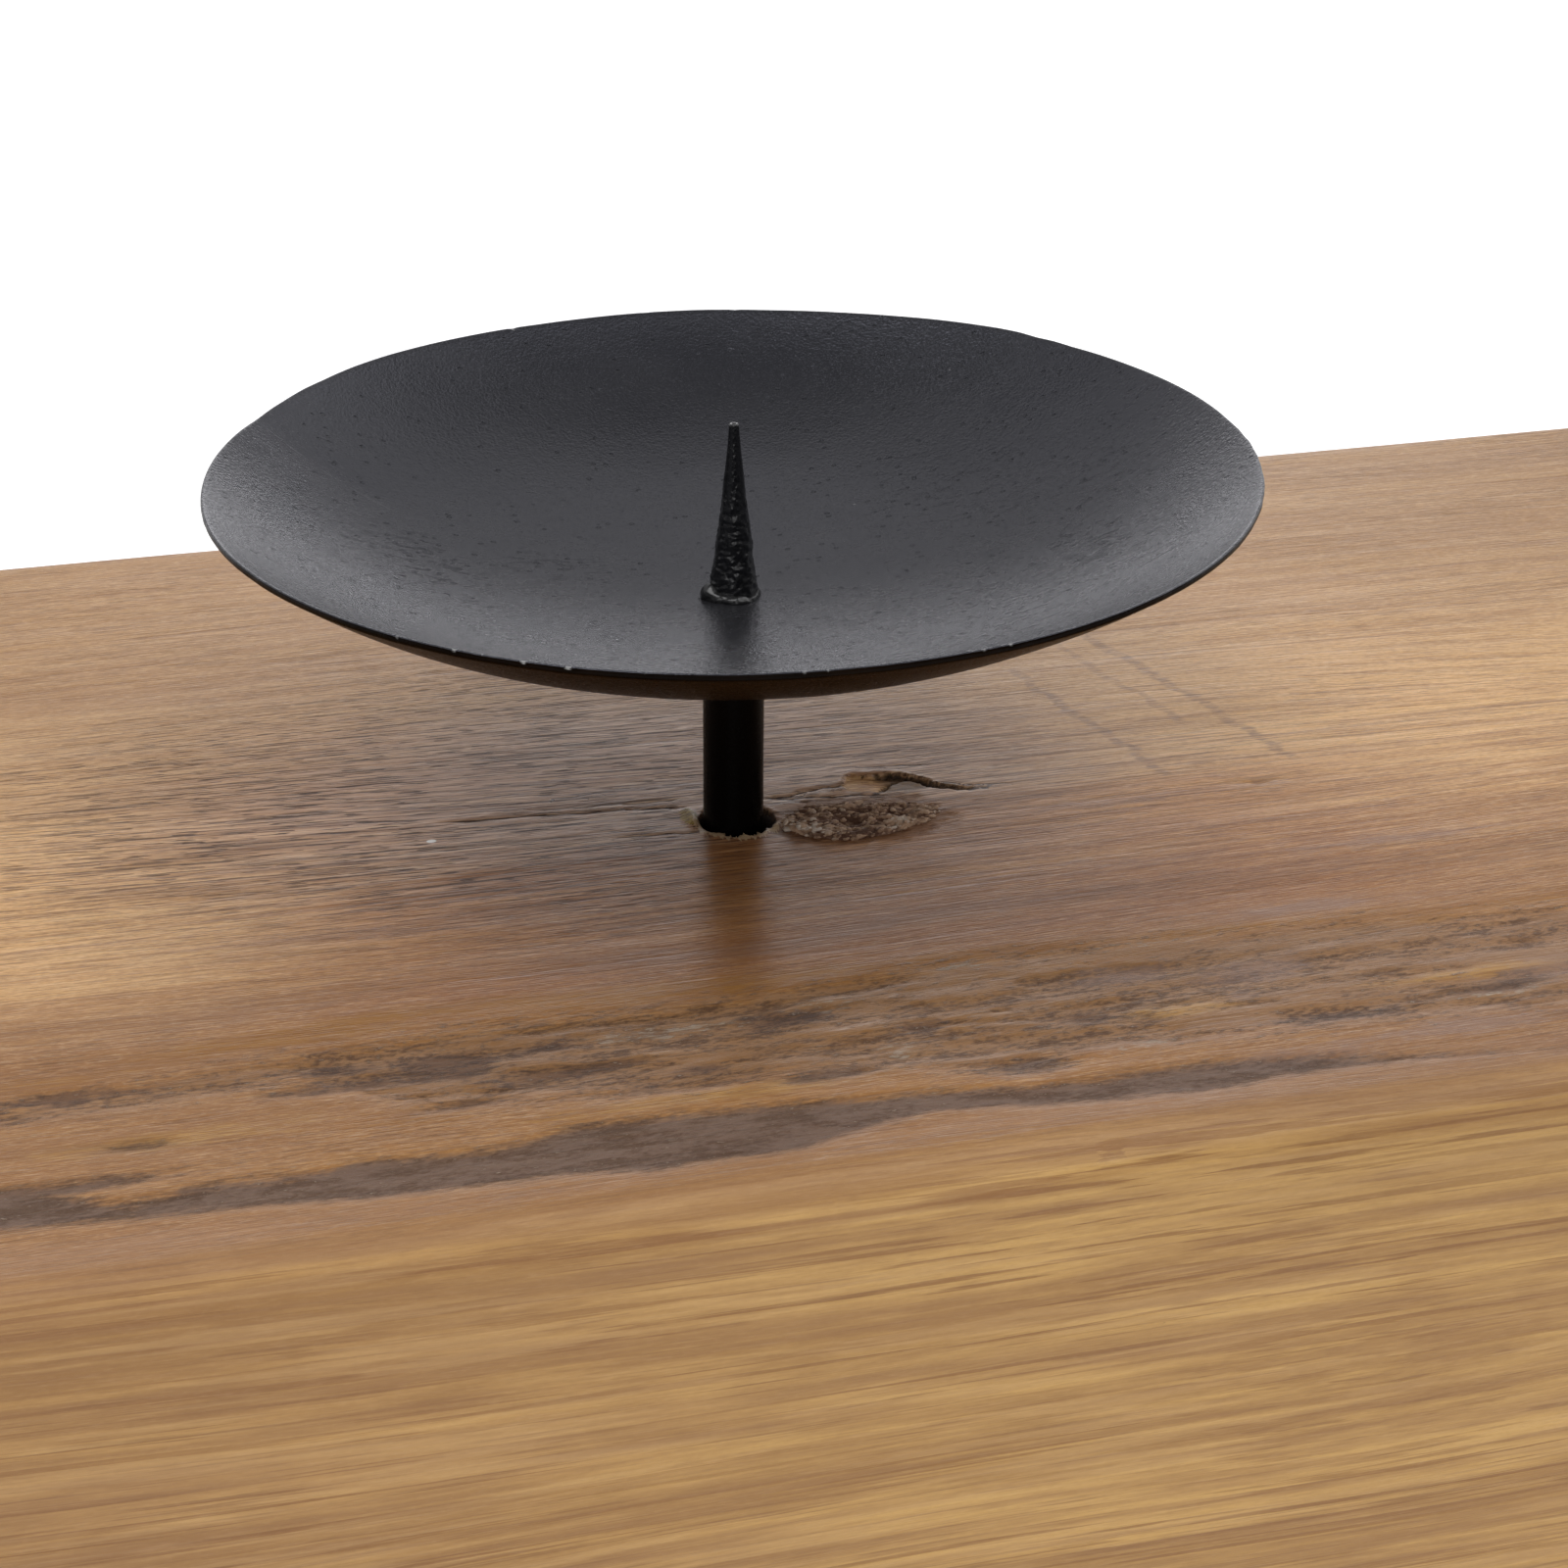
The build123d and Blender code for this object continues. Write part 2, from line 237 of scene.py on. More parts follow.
def top_marks(x, y):
    """What the top looks like at a point given from the stem's axis: fields in millimetres or masks 0 to 1, and the surface's height in millimetres."""
    rag = fbm(x / 9.0, y / 1.5, seed=21, octaves=4, gain=0.6)
    fine = fbm(x / 2.6, y / 0.55, seed=25, octaves=3)
    fade = np.interp(x, [-150, -80, -60, 20, 40, 60, 150], [0.9, 0.2, 0, 0, 0.35, 0.8, 1.5])
    dark = between(x, y, DARK_TOP, DARK_LOW) + 0.5 * rag - fade
    dark = np.maximum(dark, patches(x, y, "dark"))
    zone = between(x, y, WORN_TOP, WORN_LOW) + 1.3 * rag
    blot = fbm(x / 10.5, y / 1.9, seed=33, octaves=4, gain=0.6)
    worn = np.minimum(zone * 0.5, 0.34 + 2.5 * blot - np.interp(x, [15, 45], [0, 0.5]))
    pale = patches(x, y, "pale")
    lilac = patches(x, y, "lilac")
    gold = patches(x, y, "gold")
    gy = np.interp(x, [p[0] for p in GOLD_LINE], [p[1] for p in GOLD_LINE])
    gold = np.maximum(gold, 1.1 - np.abs(y - gy) + 0.9 * rag)
    worn = np.minimum(worn, 0.6 - gold)
    by = np.interp(x, [p[0] for p in BROWN_LINE], [p[1] for p in BROWN_LINE])
    brown = smooth(2.6, 0.2, np.abs(y - by) + 0.9 * rag) * (0.75 + 0.35 * vnoise(x / 30, y / 6, seed=44))
    # height
    h = 0.16 * fbm(x / 64, y / 17, seed=3, octaves=2) + 0.05 * fbm(x / 26, y / 3.4, seed=5, octaves=2)
    h = h + 0.022 * fbm(x / 13, y / 0.95, seed=7, octaves=2)
    eroded = np.maximum(smooth(-0.9, 1.2, worn), smooth(-0.9, 1.0, dark))
    h = h - eroded * (0.26 + 0.10 * rag) + 0.07 * eroded * fine
    h = h - 0.16 * smooth(-1.5, 2.0, zone)
    # torn splinter
    back = np.interp(x, [p[0] for p in TORN_BACK], [p[1] for p in TORN_BACK]) + 0.12 * vnoise(x / 0.8, 0, seed=51)
    front = np.interp(x, [p[0] for p in TORN_FRONT], [p[1] for p in TORN_FRONT])
    inside = (x > 12.8) & (x < 27) & (y < back + 0.3) & (y > front - 0.4)
    width = np.maximum(back - front, 0.05)
    depth = np.interp(x, [12.8, 13.5, 17, 19.5, 22, 27], [0.15, 0.32, 0.62, 0.66, 0.36, 0.10])
    slope = np.clip((y - front) / width, 0, 1)
    cliff = smooth(0.12, -0.22, y - back)
    torn = np.where(inside, depth * slope**0.8 * cliff, 0.0)
    split_d, split_t = to_line(x + 0.25 * vnoise(x / 0.9, y / 0.9, seed=56), y + 0.25 * vnoise(x / 0.9, y / 0.9, seed=57), SPLIT)
    split_y = np.interp(x, [p[0] for p in SPLIT], [p[1] for p in SPLIT])
    loose = np.where(inside & (x > 15.7), smooth(0.0, 0.6, split_y - y), 0.0)
    h = h - torn * (1 - 0.72 * loose)
    h = h - np.where(inside, 0.55 * smooth(0.45, 0.1, split_d) * smooth(0, 0.15, split_t) * smooth(1.0, 0.8, split_t), 0)
    h = h + np.where(inside, 0.18 * smooth(0.05, 0.5, torn) * fbm(x / 1.2, y / 0.35, seed=55), 0.0)
    lip = np.where((x > 11.4) & (x < 24), smooth(1.0, 0.0, np.abs(y - back - 0.25)), 0.0)
    h = h + 0.14 * lip * smooth(-0.1, 0.4, y - back)
    raw = np.where(inside, smooth(0.02, 0.12, torn), 0.0)
    rim_d = np.where((x > 15.4) & (x < 21.8), np.abs(y - back + 0.10) * 0.62, 1.0)
    crack_s = np.minimum(np.minimum(split_d * 0.30, rim_d), 1.0)
    crack_m = np.where((x > 12.9) & (x < 27) & ((split_d < 1.2) | (rim_d < 0.5)), 1.0, 0.0)
    for points, deep in CRACKS:
        wavy = y + 0.16 * vnoise(x / 1.7, 3.3, seed=60)
        d, t = to_line(x, wavy, points)
        line_y = np.interp(x, [p[0] for p in points], [p[1] for p in points])
        ends = smooth(0, 0.12, t) * smooth(1.0, 0.88, t)
        near = (d < 0.9) & (ends > 0) & (d < np.abs(crack_s) * 1.5 + (crack_m <= 0) * 9)
        crack_s = np.where(near, (wavy - line_y) * (0.8 if deep > 0.11 else 1.2), crack_s)
        crack_m = np.where(near, ends, crack_m)
        h = h - deep * smooth(0.4, 0.05, d) * ends
    # chewed wood round the filled hole
    ex, ey = x - 12.4, y + 2.8
    ring = np.hypot((ex * 0.991 - ey * 0.13) / 9.1, (ey * 0.991 + ex * 0.13) / 5.2)
    chew = (1.08 - ring) * 4.6 + 1.1 * fbm(x / 2.2, y / 1.1, seed=68, octaves=3)
    chewed = smooth(-0.3, 1.2, chew)
    h = h - chewed * (0.12 - 0.20 * fbm(x / 1.3, y / 0.7, seed=69, octaves=3))
    # lip of the drilled hole, furred up a little, with a split-off chip on its left
    r = np.hypot(x - SOCKET_DX, y)
    ang = np.arctan2(y, x - SOCKET_DX)
    fur = smooth(SOCKET_R + 1.0, SOCKET_R, r)
    h = h + 0.16 * fur * (0.5 + 0.9 * vnoise(ang * 5, r * 1.1, seed=63)) - 0.1 * smooth(SOCKET_R + 0.3, SOCKET_R - 0.1, r)
    chip = smooth(1.25, 0.55, np.hypot((x + 4.2) / 0.85, (y - 1.5) / 2.0) + 0.25 * vnoise(x * 2.2, y * 1.3, seed=64))
    h = h + 0.55 * chip * smooth(-5.1, -3.7, x)
    fringe = 0.9 - np.abs(r - SOCKET_R - 0.1) - 1.6 * smooth(-0.35, 0.35, np.sin(ang + 0.25))
    fringe = np.maximum(fringe, FAR)
    # two tiny knocks
    for kx, ky, a, b, d in ((55.2, -4.9, 1.5, 0.7, 0.3), (-30.04, 2.87, 0.6, 0.4, -0.12)):
        h = h - d * smooth(1.2, 0.3, np.hypot((x - kx) / a, (y - ky) / b))
    speck = smooth(1.2, 0.6, np.hypot((x + 30.04) / 0.5, (y - 2.87) / 0.33))
    return {
        "dark": dark, "worn": worn, "pale": pale, "lilac": lilac, "gold": gold, "zone": zone,
        "brown": brown, "raw": raw, "crack_s": crack_s, "crack_m": crack_m, "speck": speck, "chew": chew, "olive": chip,
        "fringe": fringe, "loose": loose,
    }, h


# every mark and its value where nothing is marked; the first ones are in millimetres
FAR = -4.0
NONE = {"dark": FAR, "worn": FAR, "pale": FAR, "lilac": FAR, "gold": FAR, "zone": FAR, "chew": FAR, "brown": 0.0,
        "raw": 0.0, "crack_s": 1.0, "crack_m": 0.0, "speck": 0.0, "olive": 0.0, "fringe": FAR, "loose": 0.0, "deep": 0.0}

# ---------------------------------------------------------------- beam mesh
R_TOP, R_BACK, R_LOW, CHAMFER = 4.0, 2.0, 2.0, 1.2
patch_x = (-10.0, 27.0)
patch_y = (SY - 12.0, SY + 9.0)
xs = spaced(-HALF_X + CHAMFER, patch_x[0], 1.95)[:-1] + spaced(*patch_x, 0.46)[:-1] + spaced(patch_x[1], HALF_X - CHAMFER, 1.95)
xs = np.array(xs)
loop = []          # y, z, outward y, outward z


def straight(y0, z0, y1, z1, step, ny, nz):
    n = max(1, round(math.hypot(y1 - y0, z1 - z0) / step))
    for k in range(n):
        t = k / n
        loop.append((y0 + (y1 - y0) * t, z0 + (z1 - z0) * t, ny, nz))


def corner(cy, cz, r, a0, a1, n):
    for k in range(n):
        a = math.radians(a0 + (a1 - a0) * k / n)
        loop.append((cy + r * math.cos(a), cz + r * math.sin(a), math.cos(a), math.sin(a)))


edge = HALF_Y - R_TOP
straight(HALF_Y - R_BACK, TOP, patch_y[1], TOP, 1.15, 0, 1)
first_patch_row = len(loop)
straight(patch_y[1], TOP, patch_y[0], TOP, 0.46, 0, 1)
last_patch_row = len(loop)
straight(patch_y[0], TOP, SY - 31, TOP, 0.8, 0, 1)
straight(SY - 31, TOP, -edge, TOP, 0.5, 0, 1)
corner(-edge, TOP - R_TOP, R_TOP, 90, 180, 9)
straight(-HALF_Y, TOP - R_TOP, -HALF_Y, R_LOW, 1.15, -1, 0)
corner(-HALF_Y + R_LOW, R_LOW, R_LOW, 180, 270, 3)
straight(-HALF_Y + R_LOW, 0, HALF_Y - R_LOW, 0, 5.5, 0, -1)
corner(HALF_Y - R_LOW, R_LOW, R_LOW, 270, 360, 3)
straight(HALF_Y, R_LOW, HALF_Y, TOP - R_BACK, 2.2, 1, 0)
corner(HALF_Y - R_BACK, TOP - R_BACK, R_BACK, 0, 90, 6)
loop = np.array(loop)
NL, NX = len(loop), len(xs)


def skin(x, y, z, ny, nz):
    """The outside of the beam at a nominal point: where it really lies, and its marks."""
    x, y, z, ny, nz = np.broadcast_arrays(x, y, z, ny, nz)
    marks = {k: np.full(x.shape, v) for k, v in NONE.items()}
    upness = smooth(0.55, 0.98, nz)
    up = upness > 0
    h = 0.09 * fbm(x / 60, (y + z) / 15, seed=13, octaves=2) + 0.035 * fbm(x / 24, (y - z) / 2.6, seed=15, octaves=2)
    h = h + 0.03 * fbm(x / 40, (y + 1.3 * z) / 1.1, seed=16, octaves=2)
    arris = np.clip(2 * np.abs(ny * nz), 0, 1)
    knock = smooth(0.42, 0.8, fbm(x / 5.0, (y + z) / 9.0, seed=18, octaves=3))
    wear = np.where(y > 0, 0.35, 1.0)
    h = h - arris * wear * (0.28 + 0.24 * fbm(x / 26, z / 40, seed=17, octaves=3) + 0.5 * knock)
    found, top_h = top_marks(x[up] - SX, y[up] - SY)
    out = h.copy()
    out[up] = h[up] * (1 - upness[up]) + (top_h - 0.12) * upness[up]
    out = out - 0.08
    out = np.where(nz < -0.5, np.minimum(out, 0) * 0.4, out)
    for k, v in found.items():
        v = np.clip(v, FAR, 6) if NONE[k] == FAR else v
        marks[k][up] = NONE[k] + (v - NONE[k]) * upness[up]
    return y + out * ny, z + out * nz, marks


gx, gl = np.meshgrid(xs, np.arange(NL), indexing="ij")
yy, zz, grid_marks = skin(gx, loop[gl, 0], loop[gl, 1], loop[gl, 2], loop[gl, 3])
verts = [np.stack([gx.ravel(), yy.ravel(), zz.ravel()], 1)]
marks = {k: [v.ravel()] for k, v in grid_marks.items()}
count = NX * NL
faces = []
pi0 = int(np.argmin(np.abs(xs - patch_x[0])))
pi1 = int(np.argmin(np.abs(xs - patch_x[1])))
pj0, pj1 = first_patch_row, last_patch_row
for i in range(NX - 1):
    a = i * NL
    inside_x = pi0 <= i < pi1
    for j in range(NL):
        if inside_x and pj0 <= j < pj1:
            continue
        k = (j + 1) % NL
        faces.append((a + j, a + NL + j, a + NL + k, a + k))


def add(points, **values):
    """Adds vertices to the beam, with their marks, and returns the first one's number."""
    global count
    points = np.asarray(points, float)
    verts.append(points)
    for key, none in NONE.items():
        v = values.get(key, none)
        marks[key].append(np.broadcast_to(np.asarray(v, float), (len(points),)).copy())
    start = count
    count += len(points)
    return start


# hole edges on the top
rng = np.random.default_rng(7)
NS = 252
th = np.arange(NS) / NS * 2 * math.pi
front_side = smooth(0.25, -0.5, np.sin(th))
teeth = np.minimum(np.clip(1.6 * vnoise(th * 11, 0.3, seed=80), 0, 1) + 0.8 * np.clip(1.5 * vnoise(th * 23, 1.3, seed=81), 0, 1), 1.0)
sock_r = SOCKET_R + 0.06 + 0.10 * fbm(th * 1.6, 0.2, seed=82) + 0.04 * vnoise(th * 14, 0.7, seed=83) - 0.60 * smooth(-0.50, -0.92, np.sin(th)) * teeth
sock_r[-6:] = sock_r[-6:] + (sock_r[0] - sock_r[-1]) * np.linspace(0, 1, 7)[1:]
sock = np.stack([SOCKET_DX + sock_r * np.cos(th), sock_r * np.sin(th)], 1)
FX, FY = (fill_lo.x + fill_hi.x) / 2 - SX, (fill_lo.y + fill_hi.y) / 2 - SY
FA, FB = (fill_hi.x - fill_lo.x) / 2, (fill_hi.y - fill_lo.y) / 2
NF = 176
tf = np.arange(NF) / NF * 2 * math.pi
wob = fbm(np.cos(tf) * 2.6 + 5, np.sin(tf) * 2.6, seed=90, octaves=4, gain=0.6)
OUTLINE = [(5.3, 0.1), (7.4, 1.0), (10.5, 0.8), (13.6, 0.2), (16.6, -0.5), (19.2, -1.5), (20.3, -2.8), (19.2, -4.2), (16.2, -5.9),
           (13.4, -6.7), (10.4, -7.0), (7.4, -6.0), (5.5, -4.2), (4.85, -1.8)]
out_a = np.array([math.atan2((p[1] - FY) / FB, (p[0] - FX) / FA) % (2 * math.pi) for p in OUTLINE])
out_r = np.array([math.hypot((p[0] - FX) / FA, (p[1] - FY) / FB) for p in OUTLINE])
order = np.argsort(out_a)
reach = np.interp(tf, out_a[order], out_r[order], period=2 * math.pi) + 0.07 * wob
reach = np.minimum(reach, 1.02)
pocket = np.stack([FX + FA * reach * np.cos(tf), FY + FB * reach * np.sin(tf)], 1)

border = (
    [i * NL + pj0 for i in range(pi0, pi1)]
    + [pi1 * NL + j for j in range(pj0, pj1)]
    + [i * NL + pj1 for i in range(pi1, pi0, -1)]
    + [pi0 * NL + j for j in range(pj1, pj0, -1)]
)
flat = np.stack([np.repeat(xs, NL), np.tile(loop[:, 0], NX)], 1)
border_xy = flat[border] - [SX, SY]


def inside_loop(px, py, ring):
    hit = np.zeros(np.shape(px), bool)
    for a, b in zip(ring, np.roll(ring, -1, 0)):
        cross = (a[1] > py) != (b[1] > py)
        with np.errstate(divide="ignore", invalid="ignore"):
            where = (b[0] - a[0]) * (py - a[1]) / (b[1] - a[1]) + a[0]
        hit ^= cross & (px < where)
    return hit


step = 0.40
gy0, gx0 = np.meshgrid(
    np.arange(patch_y[0] - SY + step * 0.7, patch_y[1] - SY - step * 0.5, step),
    np.arange(patch_x[0] - SX + step * 0.7, patch_x[1] - SX - step * 0.5, step),
)
inner = np.stack([gx0.ravel(), gy0.ravel()], 1)
inner = inner + rng.uniform(-0.09, 0.09, inner.shape)
far_sock = np.hypot(inner[:, 0] - SOCKET_DX, inner[:, 1]) > SOCKET_R + 0.62
far_pocket = ~inside_loop(inner[:, 0], inner[:, 1], [FX, FY] + (pocket - [FX, FY]) * 1.09)
inner = inner[far_sock & far_pocket]
extra = []
for grow in (0.16, 0.38):
    keep = slice(None, None, 1 if grow < 0.2 else 2)
    extra.append(np.stack([SOCKET_DX + (sock_r[keep] + grow) * np.cos(th[keep]), (sock_r[keep] + grow) * np.sin(th[keep])], 1))
    scale = 1 + grow / 5.2
    extra.append(np.stack([FX + (pocket[keep, 0] - FX) * scale, FY + (pocket[keep, 1] - FY) * scale], 1))
extra = np.concatenate(extra)
ok = (extra[:, 0] > patch_x[0] + 0.3) & (extra[:, 0] < patch_x[1] - 0.3)
gap = np.hypot(extra[:, 0] - SOCKET_DX, extra[:, 1]) > SOCKET_R - 0.3
ok &= gap & ~inside_loop(extra[:, 0], extra[:, 1], pocket * 1.0)
extra = extra[ok]
points = np.concatenate([border_xy, sock, pocket, inner, extra])
nb = len(border_xy)
edges = (
    [(k, (k + 1) % nb) for k in range(nb)]
    + [(nb + k, nb + (k + 1) % NS) for k in range(NS)]
    + [(nb + NS + k, nb + NS + (k + 1) % NF) for k in range(NF)]
)
out_co, _, out_faces, source, _, _ = delaunay_2d_cdt([Vector(p) for p in points.tolist()], edges, [], 0, 1e-5)
out_xy = np.array([tuple(v) for v in out_co])
number = np.full(len(out_co), -1)
for k, made_from in enumerate(source):
    if made_from:
        number[k] = made_from[0]
tri = np.array([f for f in out_faces if len(f) == 3])
mid = out_xy[tri].mean(1)
keep = ~inside_loop(mid[:, 0], mid[:, 1], sock) & ~inside_loop(mid[:, 0], mid[:, 1], pocket)
tri = tri[keep]
ids = np.zeros(len(out_co), int)
is_border = (number >= 0) & (number < nb)
ids[is_border] = np.array(border)[number[is_border]]
rest = np.flatnonzero(~is_border)
used = np.zeros(len(out_co), bool)
used[tri.ravel()] = True
rest = rest[used[rest]]
rx, ry = out_xy[rest, 0] + SX, out_xy[rest, 1] + SY
py, pz, pm = skin(rx, ry, np.full(len(rx), TOP), np.zeros(len(rx)), np.ones(len(rx)))
start = add(np.stack([rx, py, pz], 1), **pm)
ids[rest] = start + np.arange(len(rest))
faces += [tuple(ids[list(t)]) for t in tri.tolist()]
ring_number = {int(number[k]): int(ids[k]) for k in rest if number[k] >= 0}
sock_ring = [ring_number[nb + k] for k in range(NS)]
pocket_ring = [ring_number[nb + NS + k] for k in range(NF)]


def wall(ring, rows, cap):
    """Rows of vertices down from a ring of existing ones, then a cap."""
    last = ring
    for pts, values in rows:
        s = add(pts, **values)
        here = list(range(s, s + len(ring)))
        for k in range(len(ring)):
            m = (k + 1) % len(ring)
            faces.append((last[k], last[m], here[m], here[k]))
        last = here
    s = add([cap[0]], **cap[1])
    for k in range(len(ring)):
        faces.append((last[k], last[(k + 1) % len(ring)], s))


def bore_row(r, dx, z, wobble, seed):
    rr = r + wobble * fbm(th * 2.2, z / 1.5, seed=seed, octaves=3)
    return np.stack([SX + dx + rr * np.cos(th), SY + rr * np.sin(th), np.full(NS, TOP - z)], 1)


lip_r = sock_r
lip_row = np.stack([SX + SOCKET_DX + (lip_r + 0.02) * np.cos(th), SY + (lip_r + 0.02) * np.sin(th), np.full(NS, TOP - 0.42)], 1)
# the socket's bore; its deep mark paints shade down the hole
wall(
    sock_ring,
    [
        (lip_row, {"fringe": 0.75 * front_side - 0.3, "deep": 0.62}),
        (bore_row(3.72, 0.26, 0.95, 0.12, 84), {"fringe": 0.6 * front_side - 0.6, "deep": 0.97}),
        (bore_row(3.42, 0.05, 2.0, 0.06, 85), {"deep": 1.0}),
        (bore_row(3.34, 0.0, 4.0, 0.03, 86), {"deep": 1.0}),
        (bore_row(3.34, 0.0, 12.0, 0.02, 87), {"deep": 1.0}),
        (bore_row(3.34, 0.0, 21.0, 0.02, 88), {"deep": 1.0}),
        (bore_row(3.33, 0.0, 30.0, 0.0, 89), {"deep": 1.0}),
    ],
    ([SX, SY, TOP - 30.0], {"deep": 1.0}),
)
# the pocket's walls carry the deep mark for painted shade
pocket_rows = []
for z in (0.55, 2.2, 4.2, 6.0):
    shrink = 1 - 0.012 * z
    pts = np.stack([SX + FX + (pocket[:, 0] - FX) * shrink, SY + FY + (pocket[:, 1] - FY) * shrink, np.full(NF, TOP - z)], 1)
    pocket_rows.append((pts, {"raw": 0.3, "deep": 0.7}))
wall(pocket_ring, pocket_rows, ([SX + FX, SY + FY, TOP - 6.0], {"deep": 0.7}))


# sawn ends: broken edge, slight saw ridges, and drying checks that open from the heart
def end_cap(side, column, seed):
    """side is -1 or 1; column is the last column of the beam's grid at that end."""
    outer = [column * NL + j for j in range(NL)]
    ring = loop[:, :2] - loop[:, 2:] * (CHAMFER * 0.92 + 0.22 * fbm(np.arange(NL) / 9.0, side * 3.0, seed=seed, octaves=3))[:, None]
    local = np.random.default_rng(seed)
    gy_, gz_ = np.meshgrid(np.arange(-HALF_Y + 4, HALF_Y - 3, 2.3), np.arange(4, TOP - 3, 2.3))
    pts = np.stack([gy_.ravel(), gz_.ravel()], 1)
    pts = pts + local.uniform(-0.5, 0.5, pts.shape)
    checks = []
    for k, (y0, z0, ang, size) in enumerate(
        [(14, 30, 0.2, 30), (10, 26, 2.5, 34), (-8, 20, 3.0, 26), (30, 18, -0.3, 24), (4, 34, 1.75, 18), (-38, 44, 2.6, 20)]
        if side < 0
        else [(22, 24, 0.1, 26), (12, 30, 2.8, 40), (0, 22, 1.9, 22), (-30, 34, 3.3, 22), (40, 36, 0.9, 20)]
    ):
        line = []
        y_, z_ = float(y0), float(z0)
        a = ang
        for s in range(int(size / 0.8)):
            line.append((y_, z_))
            a += local.uniform(-0.16, 0.16)
            y_ += 0.8 * math.cos(a)
            z_ += 0.8 * math.sin(a)
        line = [p for p in line if abs(p[0]) < HALF_Y - 5 and 5 < p[1] < TOP - 5]
        checks.append(np.array(line))
    near = np.ones(len(pts), bool)
    extra_pts, depth = [], []
    for line in checks:
        for a, b in zip(line[:-1], line[1:]):
            d = np.hypot(pts[:, 0] - a[0], pts[:, 1] - a[1])
            near &= d > 1.1
        n = len(line)
        tangent = np.gradient(line, axis=0)
        tangent /= np.linalg.norm(tangent, axis=1)[:, None]
        normal = np.stack([-tangent[:, 1], tangent[:, 0]], 1)
        t = np.arange(n) / max(n - 1, 1)
        half = 0.10 + 0.32 * np.sin(math.pi * np.clip(t * 0.9 + 0.05, 0, 1)) ** 0.8
        deep = 0.35 + 2.6 * np.sin(math.pi * np.clip(t * 0.9 + 0.05, 0, 1))
        extra_pts += [line, line + normal * half[:, None], line - normal * half[:, None]]
        depth += [deep, 0 * deep, 0 * deep]
    pts = pts[near]
    allp = np.concatenate([ring, pts] + extra_pts)
    sink = np.concatenate([np.zeros(NL + len(pts))] + depth)
    co, _, tris, src, _, _ = delaunay_2d_cdt(
        [Vector(p) for p in allp.tolist()], [(k, (k + 1) % NL) for k in range(NL)], [], 1, 1e-5
    )
    co = np.array([tuple(c) for c in co])
    orig = np.array([s[0] if s else -1 for s in src])
    down = np.where(orig >= 0, sink[np.clip(orig, 0, None)], 0)
    tri_ = np.array([f for f in tris if len(f) == 3])
    on_ring = np.zeros(len(co), bool)
    on_ring[(orig >= 0) & (orig < NL)] = True
    bumps = 0.10 * fbm(co[:, 0] / 22, co[:, 1] / 22, seed=seed + 1, octaves=2) + 0.05 * fbm(co[:, 0] / 1.9, co[:, 1] / 30, seed=seed + 2, octaves=2)
    x_ = side * (HALF_X - 0.10 + np.where(on_ring, -0.05, bumps) - down)
    # the deep mark paints shade inside the drying checks
    s = add(
        np.stack([np.asarray(x_, float), co[:, 0], co[:, 1]], 1),
        deep=np.where(down > 0.3, 0.8, 0.0),
    )
    where = {int(orig[k]): s + k for k in np.flatnonzero(on_ring)}
    for j in range(NL):
        k = (j + 1) % NL
        faces.append((outer[j], outer[k], where[k], where[j]))
    faces.extend([tuple(int(v) + s for v in f) for f in tri_])


end_cap(-1, 0, 301)
end_cap(1, NX - 1, 401)

beam = make(
    "timber_beam", np.concatenate(verts), [tuple(int(v) for v in f) for f in faces], "base", "wood_base",
    {k: np.concatenate(v) for k, v in marks.items()},
)


def tidy(piece, merge=0.0):
    """Faces turned outwards, loose points removed."""
    import bmesh

    bm = bmesh.new()
    bm.from_mesh(piece.data)
    if merge:
        bmesh.ops.remove_doubles(bm, verts=bm.verts, dist=merge)
    loose = [v for v in bm.verts if not v.link_faces]
    if loose:
        bmesh.ops.delete(bm, geom=loose, context="VERTS")
    bmesh.ops.recalc_face_normals(bm, faces=bm.faces)
    bm.to_mesh(piece.data)
    bm.free()
    piece.data.update()


tidy(beam)


# ---------------------------------------------------------------- round pieces
def lathe(profile, sides, shape):
    """Rings round the stem's axis. profile is a list of (radius, z); shape(radius, z, angle) gives the real point. A radius of 0 closes an end."""
    ang = np.arange(sides) / sides * 2 * math.pi
    pts, made = [], []
    fs = []
    base = 0
    for r, z in profile:
        if r <= 0:
            p = shape(np.zeros(1), np.full(1, z), np.zeros(1))
            pts.append(p)
            made.append([base] * sides)
            base += 1
        else:
            p = shape(np.full(sides, r), np.full(sides, z), ang)
            pts.append(p)
            made.append(list(range(base, base + sides)))
            base += sides
    for a, b in zip(made[:-1], made[1:]):
        for k in range(sides):
            m = (k + 1) % sides
            f = []
            for v in (a[k], a[m], b[m], b[k]):
                if v not in f:
                    f.append(v)
            if len(f) >= 3:
                fs.append(tuple(f))
    return np.concatenate(pts), fs


def upright(r, z, a):
    return np.stack([SX + r * np.cos(a), SY + r * np.sin(a), z], 1)


# ---------------------------------------------------------------- drip dish
SIDES = 480
# how far the hand-pressed rim strays outwards and up from a true circle, in
# millimetres by degrees round it, with a kink each side of the far wall
STRAY = [(0, 0.32), (7, 0.40), (14, 0.39), (20, 0.37), (26, 0.37), (30, 0.33), (33, 0.47), (35.4, 0.42), (38, 0.66), (41, 0.68),
         (45, 0.55), (50, 0.38), (55, 0.19), (60, 0.05), (65, -0.01), (70, -0.03), (80, 0.08), (90, 0.10), (100, 0.06), (110, 0.18),
         (116, 0.26), (122, 0.32), (127, 0.29), (130, 0.20), (132.5, 0.10), (136, 0.10), (141, -0.09), (146, -0.12), (152, 0.0),
         (160, 0.14), (170, 0.24), (180, 0.30), (190, 0.28), (205, 0.14), (220, 0.04), (240, 0.0), (270, 0.0), (300, 0.02),
         (320, 0.06), (340, 0.16), (350, 0.26), (360, 0.32)]
